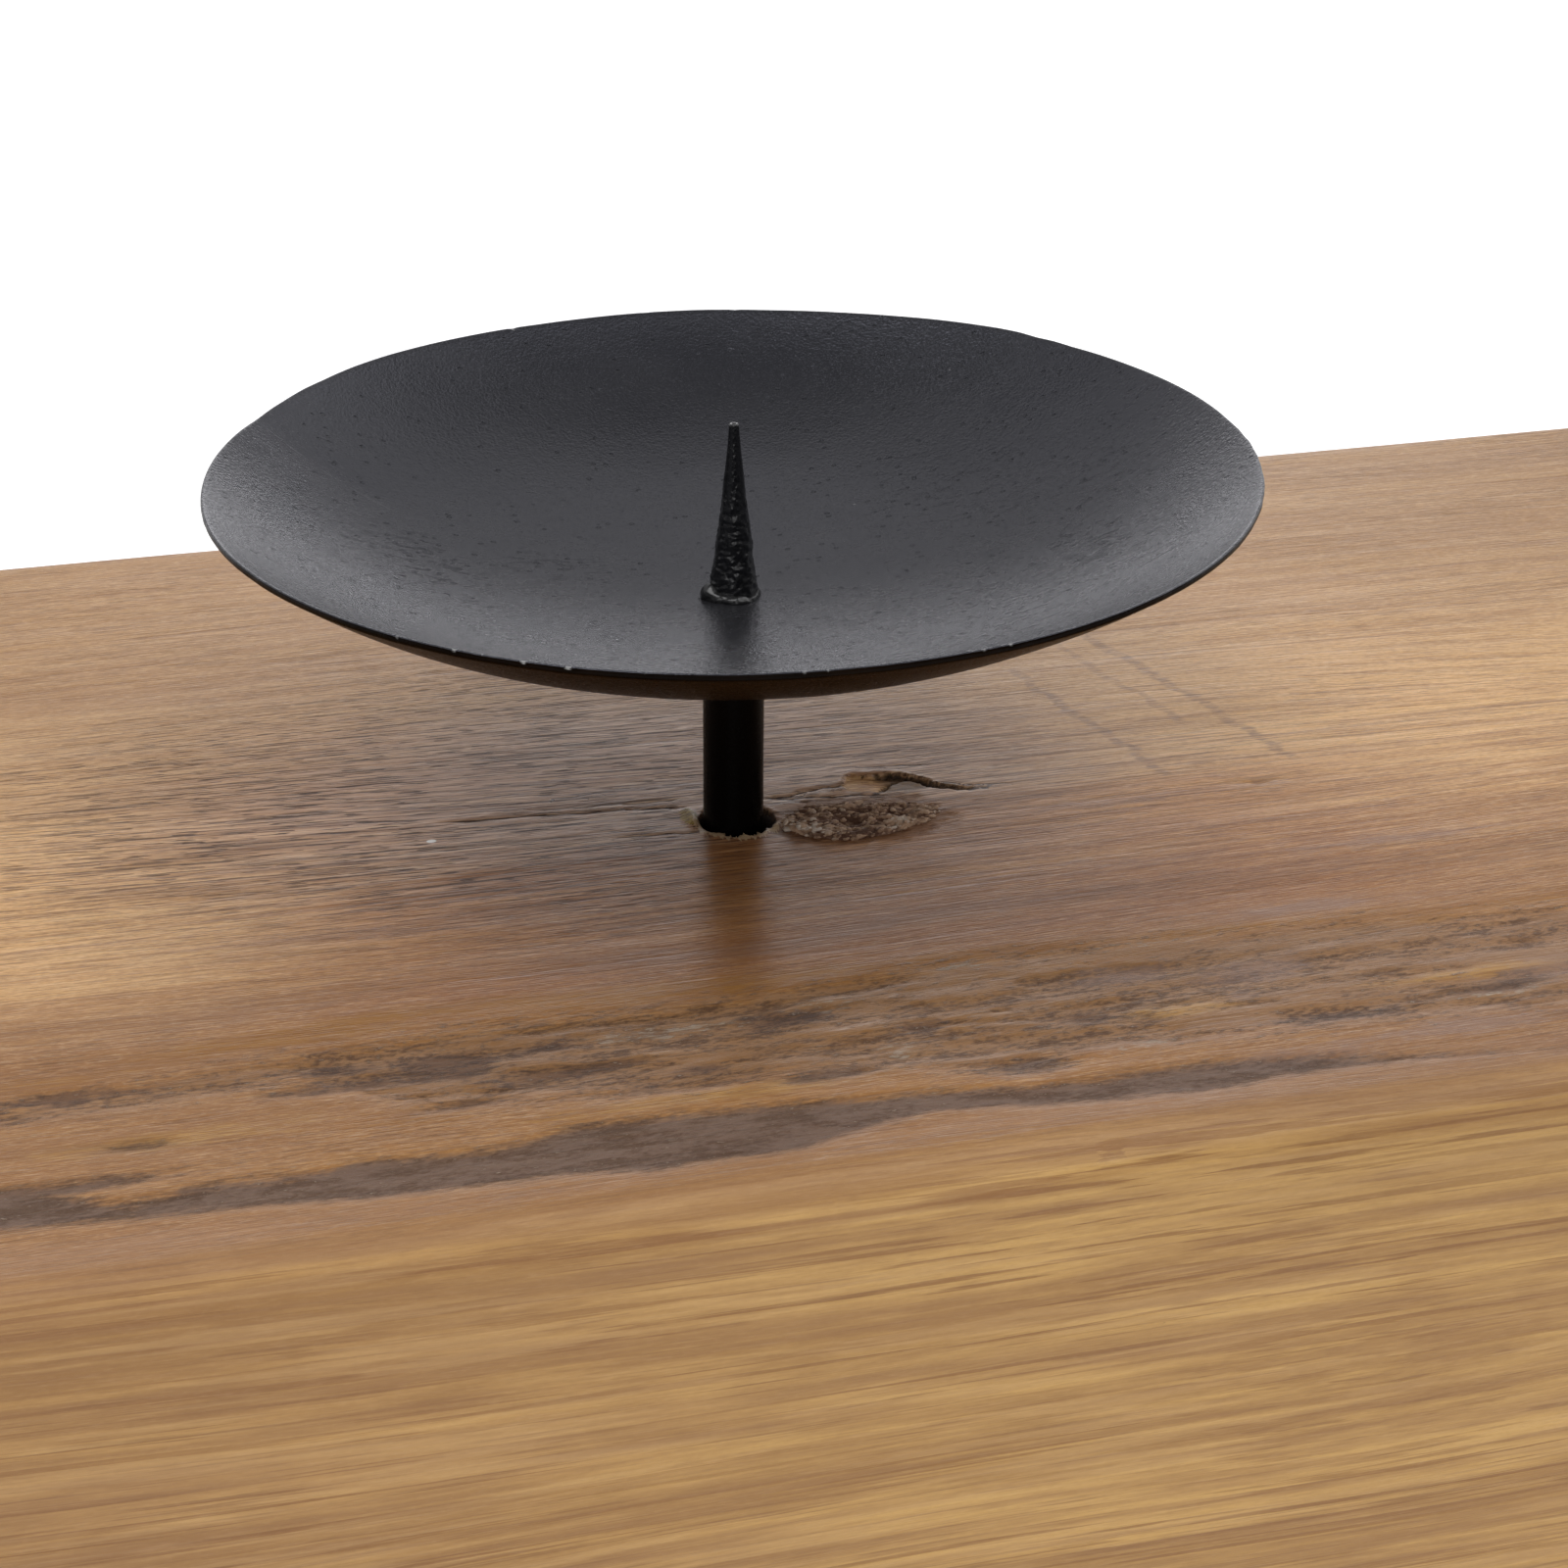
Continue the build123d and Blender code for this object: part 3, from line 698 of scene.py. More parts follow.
CHIPS = [(-139.4, 1.1, 0.8), (-132.6, 0.9, 1), (-129.9, 0.5, 0.8), (-125.3, 0.7, 0.9), (-120.9, 0.9, 1), (-112.9, 0.8, 1),
         (-97.9, 1.1, 0.7), (-95.7, 0.8, 1), (-80.5, 0.9, 0.9), (-77.4, 0.9, 0.8), (-70, 0.6, 0.6), (-148, 0.5, 0.6),
         (-104, 0.4, 0.6), (-62, 0.5, 0.5), (-88, 0.4, 0.5), (103.5, 0.9, 0.7), (62.5, 0.8, 0.6), (86, 0.5, 0.5),
         (75, 0.4, 0.5), (12, 0.4, 0.5), (160, 0.4, 0.5), (40, 0.3, 0.4), (121, 0.4, 0.5), (-30, 0.4, 0.4), (-10, 0.4, 0.4)]
TILT = math.radians(0.8)
RIGHT_XY = np.array([0.9628, -0.2702])


def dish_shape(r, z, a):
    """r and z are on the true bowl, z from its inside lowest point; returns the pressed shape."""
    deg = np.degrees(a) % 360
    stray = np.interp(deg, [p[0] for p in STRAY], [p[1] for p in STRAY])
    back = np.sin(a + 0.0)
    share = (r / 50.0) ** 3.2
    side = np.abs(np.cos(a))
    dr = stray * side * share
    dz = stray * (1 - side * 0.85) * share * 1.05
    x, y = (r + dr) * np.cos(a), (r + dr) * np.sin(a)
    # hammered a little out of true, most towards the rim
    dz = dz + 0.045 * fbm(x / 17 + 3, y / 17, seed=110, octaves=2) * smooth(4, 20, r)
    dz = dz + 0.012 * fbm(x / 4.5, y / 4.5, seed=112, octaves=2) * smooth(3, 8, r)
    # soft crease that runs in from the kink on the left, the wall behind it a shade flatter
    d, t = to_line(x, y, [(-42.5, 27), (-40, 25.5), (-34, 22), (-28.8, 19.5), (-21, 10), (-15.2, 0.7)])
    dz = dz - 0.10 * np.exp(-((d / 2.4) ** 2)) * smooth(1.0, 0.35, t) * smooth(14, 26, r)
    turned = (deg - 312 + 180) % 360 - 180
    dz = dz + 0.26 * smooth(18, 36, r) * smooth(50.0, 43.0, r) * smooth(48, 12, np.abs(turned))
    lean = math.tan(TILT)
    dz = dz + (x * RIGHT_XY[0] + y * RIGHT_XY[1]) * lean * smooth(0, 6, r)
    return np.stack([SX + x, SY + y, DISH_Z + z + dz], 1)


def bowl(below, lean):
    """A point of the bowl's curve at a slope, so far below the inside surface."""
    if lean <= FLOOR_LEAN:
        r, z = (FLOOR_R + below) * math.sin(lean), FLOOR_R - (FLOOR_R + below) * math.cos(lean)
    else:
        r, z = WALL_X + (WALL_R + below) * math.sin(lean), WALL_Z - (WALL_R + below) * math.cos(lean)
    return r * (1 + 0.0050 * float(smooth(24, 49.5, r))), z


leans = [FLOOR_LEAN * k / 26 for k in range(26)] + [FLOOR_LEAN + (RIM_LEAN - FLOOR_LEAN) * k / 46 for k in range(46)]
profile = [bowl(0.0, a) for a in leans]
profile += [(49.66, 13.06), (49.80, 13.13), (49.89, 13.12), (49.95, 13.05)]
TOP_RINGS = len(profile) - 1       # pairs of rings up to the rim's crest
profile += [(49.99, 12.93), (50.0, 12.80), (49.99, 12.66), (49.94, 12.54), (49.84, 12.43)]
for a in reversed(leans[:-1]):
    profile.append(bowl(float(np.interp(a, [0.2, math.radians(20), RIM_LEAN], [1.0, 0.62, 0.56])), a))
profile[0] = (0, profile[0][1])
profile[-1] = (0, profile[-1][1])
pts, fs = lathe(profile, SIDES, dish_shape)
rel = pts - [SX, SY, DISH_Z]
rr = np.hypot(rel[:, 0], rel[:, 1])
deg = np.degrees(np.arctan2(rel[:, 1], rel[:, 0]))
chip = np.zeros(len(pts))
for where, size, strength in CHIPS:
    along = np.abs((deg - where + 180) % 360 - 180) * math.pi / 180 * rr * 1.5
    across = np.abs(rr - 49.75) / 0.55
    chip = np.maximum(chip, strength * smooth(1.35, 0.35, np.hypot(along / (size * 0.62), across * 1.35) + 0.35 * vnoise(deg * 1.6, rr * 2.1, seed=120)))
ring_of = np.concatenate([[0], np.repeat(np.arange(1, len(profile) - 1), SIDES), [len(profile) - 1]])
chip = np.where((ring_of <= TOP_RINGS + 1) & (rr > 48.8), chip, 0)
# the rim's edge wanders in and out a little
ragged = fbm(deg / 2.2, 0.0, seed=127, octaves=3) * smooth(49.4, 49.9, rr) * smooth(0.3, -0.4, np.sin(np.radians(deg)))
inward = chip * 0.12 + 0.07 * ragged
pts[:, 0] -= rel[:, 0] / np.maximum(rr, 1) * inward
pts[:, 1] -= rel[:, 1] / np.maximum(rr, 1) * inward
pts[:, 2] -= inward * 0.6
pitted = np.zeros(len(pts))
for px, py_, a, s in ((-29.8, 11.4, 3.6, 1), (-28, 6.8, 4.2, 0.8), (33.4, -6.3, 3.2, 1), (33.6, -11, 4, 0.9), (-16, 9, 5, 0.45),
                      (41, 6, 8, 0.5), (30, 14, 12, 0.35), (-36, -4, 7, 0.12), (10, -33, 9, 0.3), (-12, -31, 8, 0.35), (22, -24, 9, 0.3)):
    pitted = np.maximum(pitted, s * np.exp(-(((rel[:, 0] - px) ** 2 + (rel[:, 1] - py_) ** 2) / a**2)))
grainy = smooth(8, 34, rel[:, 0]) * smooth(-26, -8, rel[:, 1])
soot = smooth(10, 40, rel[:, 1]) * (0.6 + 0.4 * fbm(rel[:, 0] / 16, rel[:, 1] / 10, seed=125))
dish = make(
    "drip_pan", pts, fs, "pricket", "drip_dish",
    {"chip": chip, "pitted": pitted, "grainy": grainy, "soot": soot},
)
tidy(dish)


# ---------------------------------------------------------------- stem
def stem_shape(r, z, a):
    wave = 0.018 * fbm(a * 1.3 + 2, z / 9, seed=130, octaves=2) + 0.008 * fbm(np.cos(a) * 3, np.sin(a) * 3 + z / 1.3, seed=131)
    return upright(r + wave * (r > 2.9), z, a)


foot_z = stem_lo.z
stem_top = DISH_Z - 0.6
profile = [(0, foot_z), (1.6, foot_z), (2.5, foot_z), (2.86, foot_z + 0.34), (3.0, foot_z + 0.6)]
profile += [(3.0, z) for z in spaced(foot_z + 1.6, stem_top - 0.2, 0.85)]
profile += [(2.98, stem_top), (0, stem_top)]
pts, fs = lathe(profile, 112, stem_shape)
stem = make("stem_bar", pts, fs, "pricket", "stem_rod")
tidy(stem)


# ---------------------------------------------------------------- spike
def spike_shape(r, z, a):
    h = z - DISH_Z
    rough = smooth(17.0, 1.0, h) * 0.75 + 0.25
    u, v = np.cos(a), np.sin(a)
    ridge = fbm(u * 2.6 + 3, v * 2.6 + 0.9 * h, h / 0.62, seed=140, octaves=3, gain=0.6)
    fleck = fbm(u * 6.5, v * 6.5 + 9, h / 0.36, seed=143, octaves=2)
    turn = np.sin(h / 0.72 * 2 * math.pi + 1.9 * np.sin(a + 0.8) + 6.0 * vnoise(u * 1.2, v * 1.2, h / 1.0, seed=146))
    turn = turn * smooth(-0.2, 0.5, vnoise(u * 1.6 + 5, v * 1.6, h / 1.6, seed=147))
    lump = fbm(u * 1.2, v * 1.2 + 2, h / 1.9, seed=148, octaves=2)
    d = rough * (0.15 * ridge + 0.07 * fleck + 0.035 * turn + 0.15 * lump)
    side = np.where(r > 0, 1.0, 0.0)
    rr = np.maximum(r + d * np.clip(r / 1.5, 0.12, 1) * side, 0.02 * side)
    lean_x = 0.03 * vnoise(h / 5, 0.0, seed=150)
    return np.stack([SX + lean_x + rr * u, SY + rr * v, z], 1)


heights = [-0.35, 0, 1, 2.1, 3.4, 5.2, 8, 11, 13.5, 15.5, 16.8, 17.15, 17.33, 17.4]
radii = [2.62, 2.50, 2.30, 2.12, 1.95, 1.74, 1.42, 1.07, 0.80, 0.60, 0.50, 0.47, 0.40, 0.26]
profile = [(0, DISH_Z - 0.35)]
profile += [(float(np.interp(h, heights, radii)), DISH_Z + h) for h in spaced(-0.35, 17.1, 0.105)]
profile += [(0.475, DISH_Z + 17.2), (0.45, DISH_Z + 17.31), (0.37, DISH_Z + 17.38), (0.25, DISH_Z + 17.37), (0.12, DISH_Z + 17.30), (0, DISH_Z + 17.29)]
pts, fs = lathe(profile, 112, spike_shape)
spike = make("spike_point", pts, fs, "pricket", "pricket_spike")
tidy(spike)


# ---------------------------------------------------------------- weld beads
def bead(name, ring_r, node, sides, shape):
    n_around = 26
    pts, fs = [], []
    for k in range(sides):
        a = 2 * math.pi * k / sides
        pts += shape(a, n_around)
    for k in range(sides):
        m = (k + 1) % sides
        for j in range(n_around):
            i = (j + 1) % n_around
            fs.append((k * n_around + j, m * n_around + j, m * n_around + i, k * n_around + i))
    piece = make(name, np.array(pts), fs, "pricket", node)
    tidy(piece)
    return piece


def ball_z(r):
    return FLOOR_R - math.sqrt(FLOOR_R * FLOOR_R - r * r)


def lump_at(a, where, width):
    d = (a - math.radians(where) + math.pi) % (2 * math.pi) - math.pi
    return math.exp(-((d / math.radians(width)) ** 2))


def spike_bead(a, n):
    left, front = lump_at(a, 192, 30), lump_at(a, 262, 26)
    reach = 0.26 + 0.72 * left + 0.50 * front + 0.20 * float(fbm(math.cos(a) * 2.3 + 1, math.sin(a) * 2.3, seed=160, octaves=3))
    tall = 0.42 + 1.05 * left + 0.22 * front + 0.24 * float(fbm(math.cos(a) * 2.0 - 4, math.sin(a) * 2.0, seed=163, octaves=3))
    out = []
    for j in range(n):
        t = 2 * math.pi * j / n
        u, v = math.cos(t), math.sin(t)
        r = 2.42 + (reach * u if u > 0 else 0.75 * u)
        z = tall * v if v > 0 else 0.3 * v
        knob = 0.11 * float(fbm(math.cos(a) * 5 + u * 1.3, math.sin(a) * 5 + v * 1.3, u * 2, seed=166, octaves=3))
        r += knob * u
        z += knob * v * 1.2
        out.append((SX + r * math.cos(a), SY + r * math.sin(a), DISH_Z + ball_z(max(r, 0)) + z))
    return out


spike_weld = bead("spike_weld_bead", 2.4, "spike_weld", 132, spike_bead)


def stem_bead(a, n):
    reach = 1.35 + 0.4 * float(fbm(math.cos(a) * 2.1 + 7, math.sin(a) * 2.1, seed=170, octaves=3)) + 0.3 * lump_at(a, 40, 40)
    tall = 1.35 + 0.4 * float(fbm(math.cos(a) * 1.9 - 7, math.sin(a) * 1.9, seed=173, octaves=3))
    out = []
    for j in range(n):
        t = 2 * math.pi * j / n
        u, v = math.cos(t), math.sin(t)
        r = 3.02 + (reach * u if u > 0 else 0.8 * u)
        z = 0.35 * v if v > 0 else tall * v
        knob = 0.12 * float(fbm(math.cos(a) * 5 + u * 1.2, math.sin(a) * 5 + v * 1.2, u * 2, seed=176, octaves=3))
        ripple = 0.05 * math.sin(a * 17 + 0.9 * math.sin(3 * a)) * max(u, 0)
        r += (knob + ripple) * u
        z += knob * v
        out.append((SX + r * math.cos(a), SY + r * math.sin(a), DISH_Z - SHEET + 0.02 + ball_z(max(r, 0)) + z))
    return out


stem_weld = bead("stem_weld_bead", 3.0, "stem_weld", 132, stem_bead)

# ---------------------------------------------------------------- filler
NFR = 26
pts, fs, crumb, gap_shade = [], [], [], []


def filler_height(x, y):
    """x and y from the stem's axis."""
    u, v = x * 0.99 - y * 0.13, y * 0.99 + x * 0.13
    warp = 0.5 * fbm(x / 1.7, y / 1.7, seed=199)
    d1, v1 = cells(u / 2.5 + 3 + warp, v / 1.05, 200)
    d2, v2 = cells(u / 1.25 + warp, v / 0.52 + 7, 203)
    lump = np.clip(1 - (d1 / 0.62) ** 2, 0, 1) * (0.28 + 0.26 * v1)
    small = np.clip(1 - (d2 / 0.66) ** 2, 0, 1) * (0.22 + 0.20 * v2)
    h = -0.44 + lump + small + 0.20 * fbm(x / 2.4, y / 1.6, seed=206) + 0.08 * fbm(x / 0.5, y / 0.5, seed=207)
    arc, t = to_line(x, y, [(5.2, -3.8), (7.0, -5.6), (9.4, -6.6), (13.0, -6.3), (16.2, -5.4), (19.4, -3.8)])
    h = h + 0.30 * smooth(1.5, 0.2, arc)
    h = h - 0.85 * smooth(1.25, 0.35, np.hypot((x - 11.4) / 1.5, (y + 3.0) / 1.0))
    h = h + 0.20 * smooth(1.6, 0.5, np.hypot((x - 7.0) / 2.6, (y + 3.8) / 1.8))
    pick = 0.55 * v1 + 0.45 * v2 - 0.45
    return h, pick, np.minimum(d1 * 0.85, d2 * 1.05)


top_rings = []
for k in range(NFR + 1):
    t = k / NFR
    shape_xy = np.array([FX, FY]) + (pocket - [FX, FY]) * (t * 1.012)
    if k == 0:
        shape_xy = np.array([[FX, FY]])
    h, pick, d = filler_height(shape_xy[:, 0], shape_xy[:, 1])
    edge_drop = smooth(0.86, 1.0, t)
    h = h * (1 - 0.6 * edge_drop) - 0.12 * edge_drop * (0.6 + 0.5 * fbm(shape_xy[:, 0] * 1.1, shape_xy[:, 1] * 1.1, seed=210))
    ring = np.stack([SX + shape_xy[:, 0], SY + shape_xy[:, 1], TOP + h], 1)
    top_rings.append(len(pts))
    pts += ring.tolist()
    crumb += pick.tolist()
    gap_shade += d.tolist()
for z in (1.6, 5.75):
    shape_xy = np.array([FX, FY]) + (pocket - [FX, FY]) * (0.985 - 0.012 * z)
    top_rings.append(len(pts))
    pts += np.stack([SX + shape_xy[:, 0], SY + shape_xy[:, 1], np.full(NF, TOP - z)], 1).tolist()
    crumb += [0.0] * NF
    gap_shade += [0.5] * NF
for a, b in zip(top_rings[:-1], top_rings[1:]):
    for k in range(NF):
        m = (k + 1) % NF
        if a == 0:
            fs.append((0, b + k, b + m))
        else:
            fs.append((a + k, b + k, b + m, a + m))
low = len(pts)
pts.append([SX + FX, SY + FY, TOP - 5.75])
crumb.append(0.0)
gap_shade.append(0.5)
for k in range(NF):
    fs.append((top_rings[-1] + k, top_rings[-1] + (k + 1) % NF, low))


def small_lump(cx, cy, cz, size, value):
    """A crumb: a little closed lump sunk by half into what it lies on."""
    nu, nv = 8, 5
    s = len(pts)
    stretch = rng.uniform(1.05, 2.0)
    turn = rng.normal(0.14, 0.35)
    off = rng.uniform(0, 50)
    for j in range(nv + 1):
        v = math.pi * j / nv
        for i in range(nu if 0 < j < nv else 1):
            u = 2 * math.pi * i / nu
            dx, dy, dz = math.sin(v) * math.cos(u), math.sin(v) * math.sin(u), math.cos(v)
            bump = 1 + 0.70 * float(vnoise(dx * 1.5 + off, dy * 1.5, dz * 1.5, seed=220))
            lx, ly = dx * size * bump * stretch, dy * size * bump / stretch
            pts.append([SX + cx + lx * math.cos(turn) - ly * math.sin(turn), SY + cy + lx * math.sin(turn) + ly * math.cos(turn), cz + dz * size * bump * 0.55])
            crumb.append(value)
            gap_shade.append(0.1)
    rows = [[s]] + [list(range(s + 1 + (j - 1) * nu, s + 1 + j * nu)) for j in range(1, nv)] + [[len(pts) - 1]]
    for a, b in zip(rows[:-1], rows[1:]):
        for i in range(nu):
            m = (i + 1) % nu
            f = []
            for v in (a[i % len(a)], b[i % len(b)], b[m % len(b)], a[m % len(a)]):
                if v not in f:
                    f.append(v)
            if len(f) > 2:
                fs.append(tuple(f))


for k in range(420):
    a = rng.uniform(0, 2 * math.pi)
    rim = math.sqrt(rng.uniform(0.0, 1.0)) * 1.02 if k % 3 else rng.uniform(0.88, 1.06)
    at = (a / (2 * math.pi)) * NF
    reach_here = float(np.interp(a, tf, reach, period=2 * math.pi))
    cx = FX + FA * reach_here * rim * math.cos(a)
    cy = FY + FB * reach_here * rim * math.sin(a)
    if math.hypot(cx - SOCKET_DX, cy) < SOCKET_R + 0.7 or math.hypot((cx - 11.4) / 1.4, (cy + 3.0) / 0.9) < 1:
        continue
    if rim > 1.0:
        level = TOP - 0.16
    else:
        level = TOP + float(filler_height(np.array([cx]), np.array([cy]))[0][0]) * 0.8 - 0.02
    pale_here = math.exp(-(((cx - 6.4) / 2.3) ** 2 + ((cy + 3.7) / 2.0) ** 2)) + 0.9 * math.exp(-(((cx - 15.7) / 1.2) ** 2 + ((cy + 4.6) / 1.7) ** 2))
    small_lump(cx, cy, level, 0.11 + 0.27 * rng.uniform(0, 1) ** 2.0, float(np.clip(rng.normal(-0.12, 0.34) + 0.75 * pale_here, -1, 1.2)))
filler = make("filler_plug", np.array(pts), fs, "base", "wood_filler", {"crumb": crumb, "gap": gap_shade})
tidy(filler)


# ---------------------------------------------------------------- materials
class Shade:
    """A node material, written as expressions."""

    def __init__(self, name):
        self.mat = bpy.data.materials.new(name)
        self.mat.use_nodes = True
        self.tree = self.mat.node_tree
        self.tree.nodes.clear()
        self.out = self.tree.nodes.new("ShaderNodeOutputMaterial")
        self.bsdf = self.tree.nodes.new("ShaderNodeBsdfPrincipled")
        self.tree.links.new(self.bsdf.outputs[0], self.out.inputs["Surface"])
        self.coords = self.tree.nodes.new("ShaderNodeTexCoord").outputs["Object"]
        self.mm = self.vmath("MULTIPLY", self.coords, (1000, 1000, 1000))
        parts = self.tree.nodes.new("ShaderNodeSeparateXYZ")
        self.tree.links.new(self.mm, parts.inputs[0])
        self.x, self.y, self.z = parts.outputs
        self.flat = self.mm

    def put(self, socket, value):
        if isinstance(value, bpy.types.NodeSocket):
            self.tree.links.new(value, socket)
        elif isinstance(value, (tuple, list)) and len(value) == 3 and socket.type == "RGBA":
            socket.default_value = (*value, 1)
        else:
            socket.default_value = value

    def math(self, op, a, b=0.0, clamp=False):
        n = self.tree.nodes.new("ShaderNodeMath")
        n.operation = op
        n.use_clamp = clamp
        self.put(n.inputs[0], a)
        self.put(n.inputs[1], b)
        return n.outputs[0]

    def vmath(self, op, a, b=(0, 0, 0)):
        n = self.tree.nodes.new("ShaderNodeVectorMath")
        n.operation = op
        self.put(n.inputs[0], a)
        self.put(n.inputs[1], b)
        return n.outputs["Value"] if op in ("LENGTH", "DISTANCE", "DOT_PRODUCT") else n.outputs["Vector"]

    def mul(self, a, b):
        return self.math("MULTIPLY", a, b)

    def plus(self, a, b):
        return self.math("ADD", a, b)

    def less(self, a, b):
        return self.math("SUBTRACT", a, b)

    def most(self, a, b):
        return self.math("MAXIMUM", a, b)

    def stretch(self, sx, sy, sz, move=(0, 0, 0)):
        """Object coordinates in millimetres, divided by the feature size on each axis."""
        v = self.vmath("MULTIPLY", self.mm, (1 / sx, 1 / sy, 1 / sz))
        return self.vmath("ADD", v, move) if any(move) else v

    def noise(self, vec, detail=2.0, rough=0.5, distort=0.0):
        n = self.tree.nodes.new("ShaderNodeTexNoise")
        n.inputs["Scale"].default_value = 1.0
        n.inputs["Detail"].default_value = detail
        n.inputs["Roughness"].default_value = rough
        n.inputs["Distortion"].default_value = distort
        self.put(n.inputs["Vector"], vec)
        return n.outputs["Fac"]

    def noise1(self, w, detail=2.0, rough=0.5):
        n = self.tree.nodes.new("ShaderNodeTexNoise")
        n.noise_dimensions = "1D"
        n.inputs["Scale"].default_value = 1.0
        n.inputs["Detail"].default_value = detail
        n.inputs["Roughness"].default_value = rough
        self.put(n.inputs["W"], w)
        return n.outputs["Fac"]

    def spots(self, vec, jitter=1.0):
        n = self.tree.nodes.new("ShaderNodeTexVoronoi")
        n.inputs["Scale"].default_value = 1.0
        n.inputs["Randomness"].default_value = jitter
        self.put(n.inputs["Vector"], vec)
        return n.outputs["Distance"], n.outputs["Color"]

    def step(self, value, lo, hi, a=0.0, b=1.0):
        """From a at lo to b at hi, smoothly, held outside."""
        n = self.tree.nodes.new("ShaderNodeMapRange")
        n.interpolation_type = "SMOOTHSTEP"
        for socket, v in zip(n.inputs[:5], (value, lo, hi, a, b)):
            self.put(socket, v)
        return n.outputs["Result"]

    def mix(self, factor, a, b, how="MIX"):
        n = self.tree.nodes.new("ShaderNodeMix")
        n.data_type = "RGBA"
        n.blend_type = how
        n.clamp_factor = True
        self.put(n.inputs[0], factor)
        self.put(n.inputs[6], a)
        self.put(n.inputs[7], b)
        return n.outputs[2]

    def mark(self, name):
        n = self.tree.nodes.new("ShaderNodeAttribute")
        n.attribute_name = name
        return n.outputs["Fac"]

    def line(self, a, b, half, move=None):
        """1 on the straight line from a to b in X and Y, 0 outside half its width."""
        dx, dy = b[0] - a[0], b[1] - a[1]
        size = math.hypot(dx, dy)
        dx, dy = dx / size, dy / size
        px, py = self.less(self.x, a[0]), self.less(self.y, a[1])
        across = self.less(self.mul(px, -dy), self.mul(py, -dx))
        if move is not None:
            across = self.plus(across, move)
        along = self.plus(self.mul(px, dx), self.mul(py, dy))
        on = self.step(self.math("ABSOLUTE", across), half, half * 0.3)
        ends = self.mul(self.step(along, -1.0, 1.0), self.step(along, size + 1.0, size - 1.0))
        return self.mul(on, ends)

    def bump(self, height, distance, normal=None):
        n = self.tree.nodes.new("ShaderNodeBump")
        n.inputs["Strength"].default_value = 1.0
        n.inputs["Distance"].default_value = distance
        self.put(n.inputs["Height"], height)
        if normal is not None:
            self.put(n.inputs["Normal"], normal)
        return n.outputs["Normal"]

    def finish(self, color, roughness, normal=None, ior=1.5, **fixed):
        self.put(self.bsdf.inputs["Base Color"], color)
        self.put(self.bsdf.inputs["Roughness"], roughness)
        self.bsdf.inputs["IOR"].default_value = ior
        if normal is not None:
            self.put(self.bsdf.inputs["Normal"], normal)
        for key, value in fixed.items():
            self.bsdf.inputs[key.replace("_", " ")].default_value = value
        return self.mat


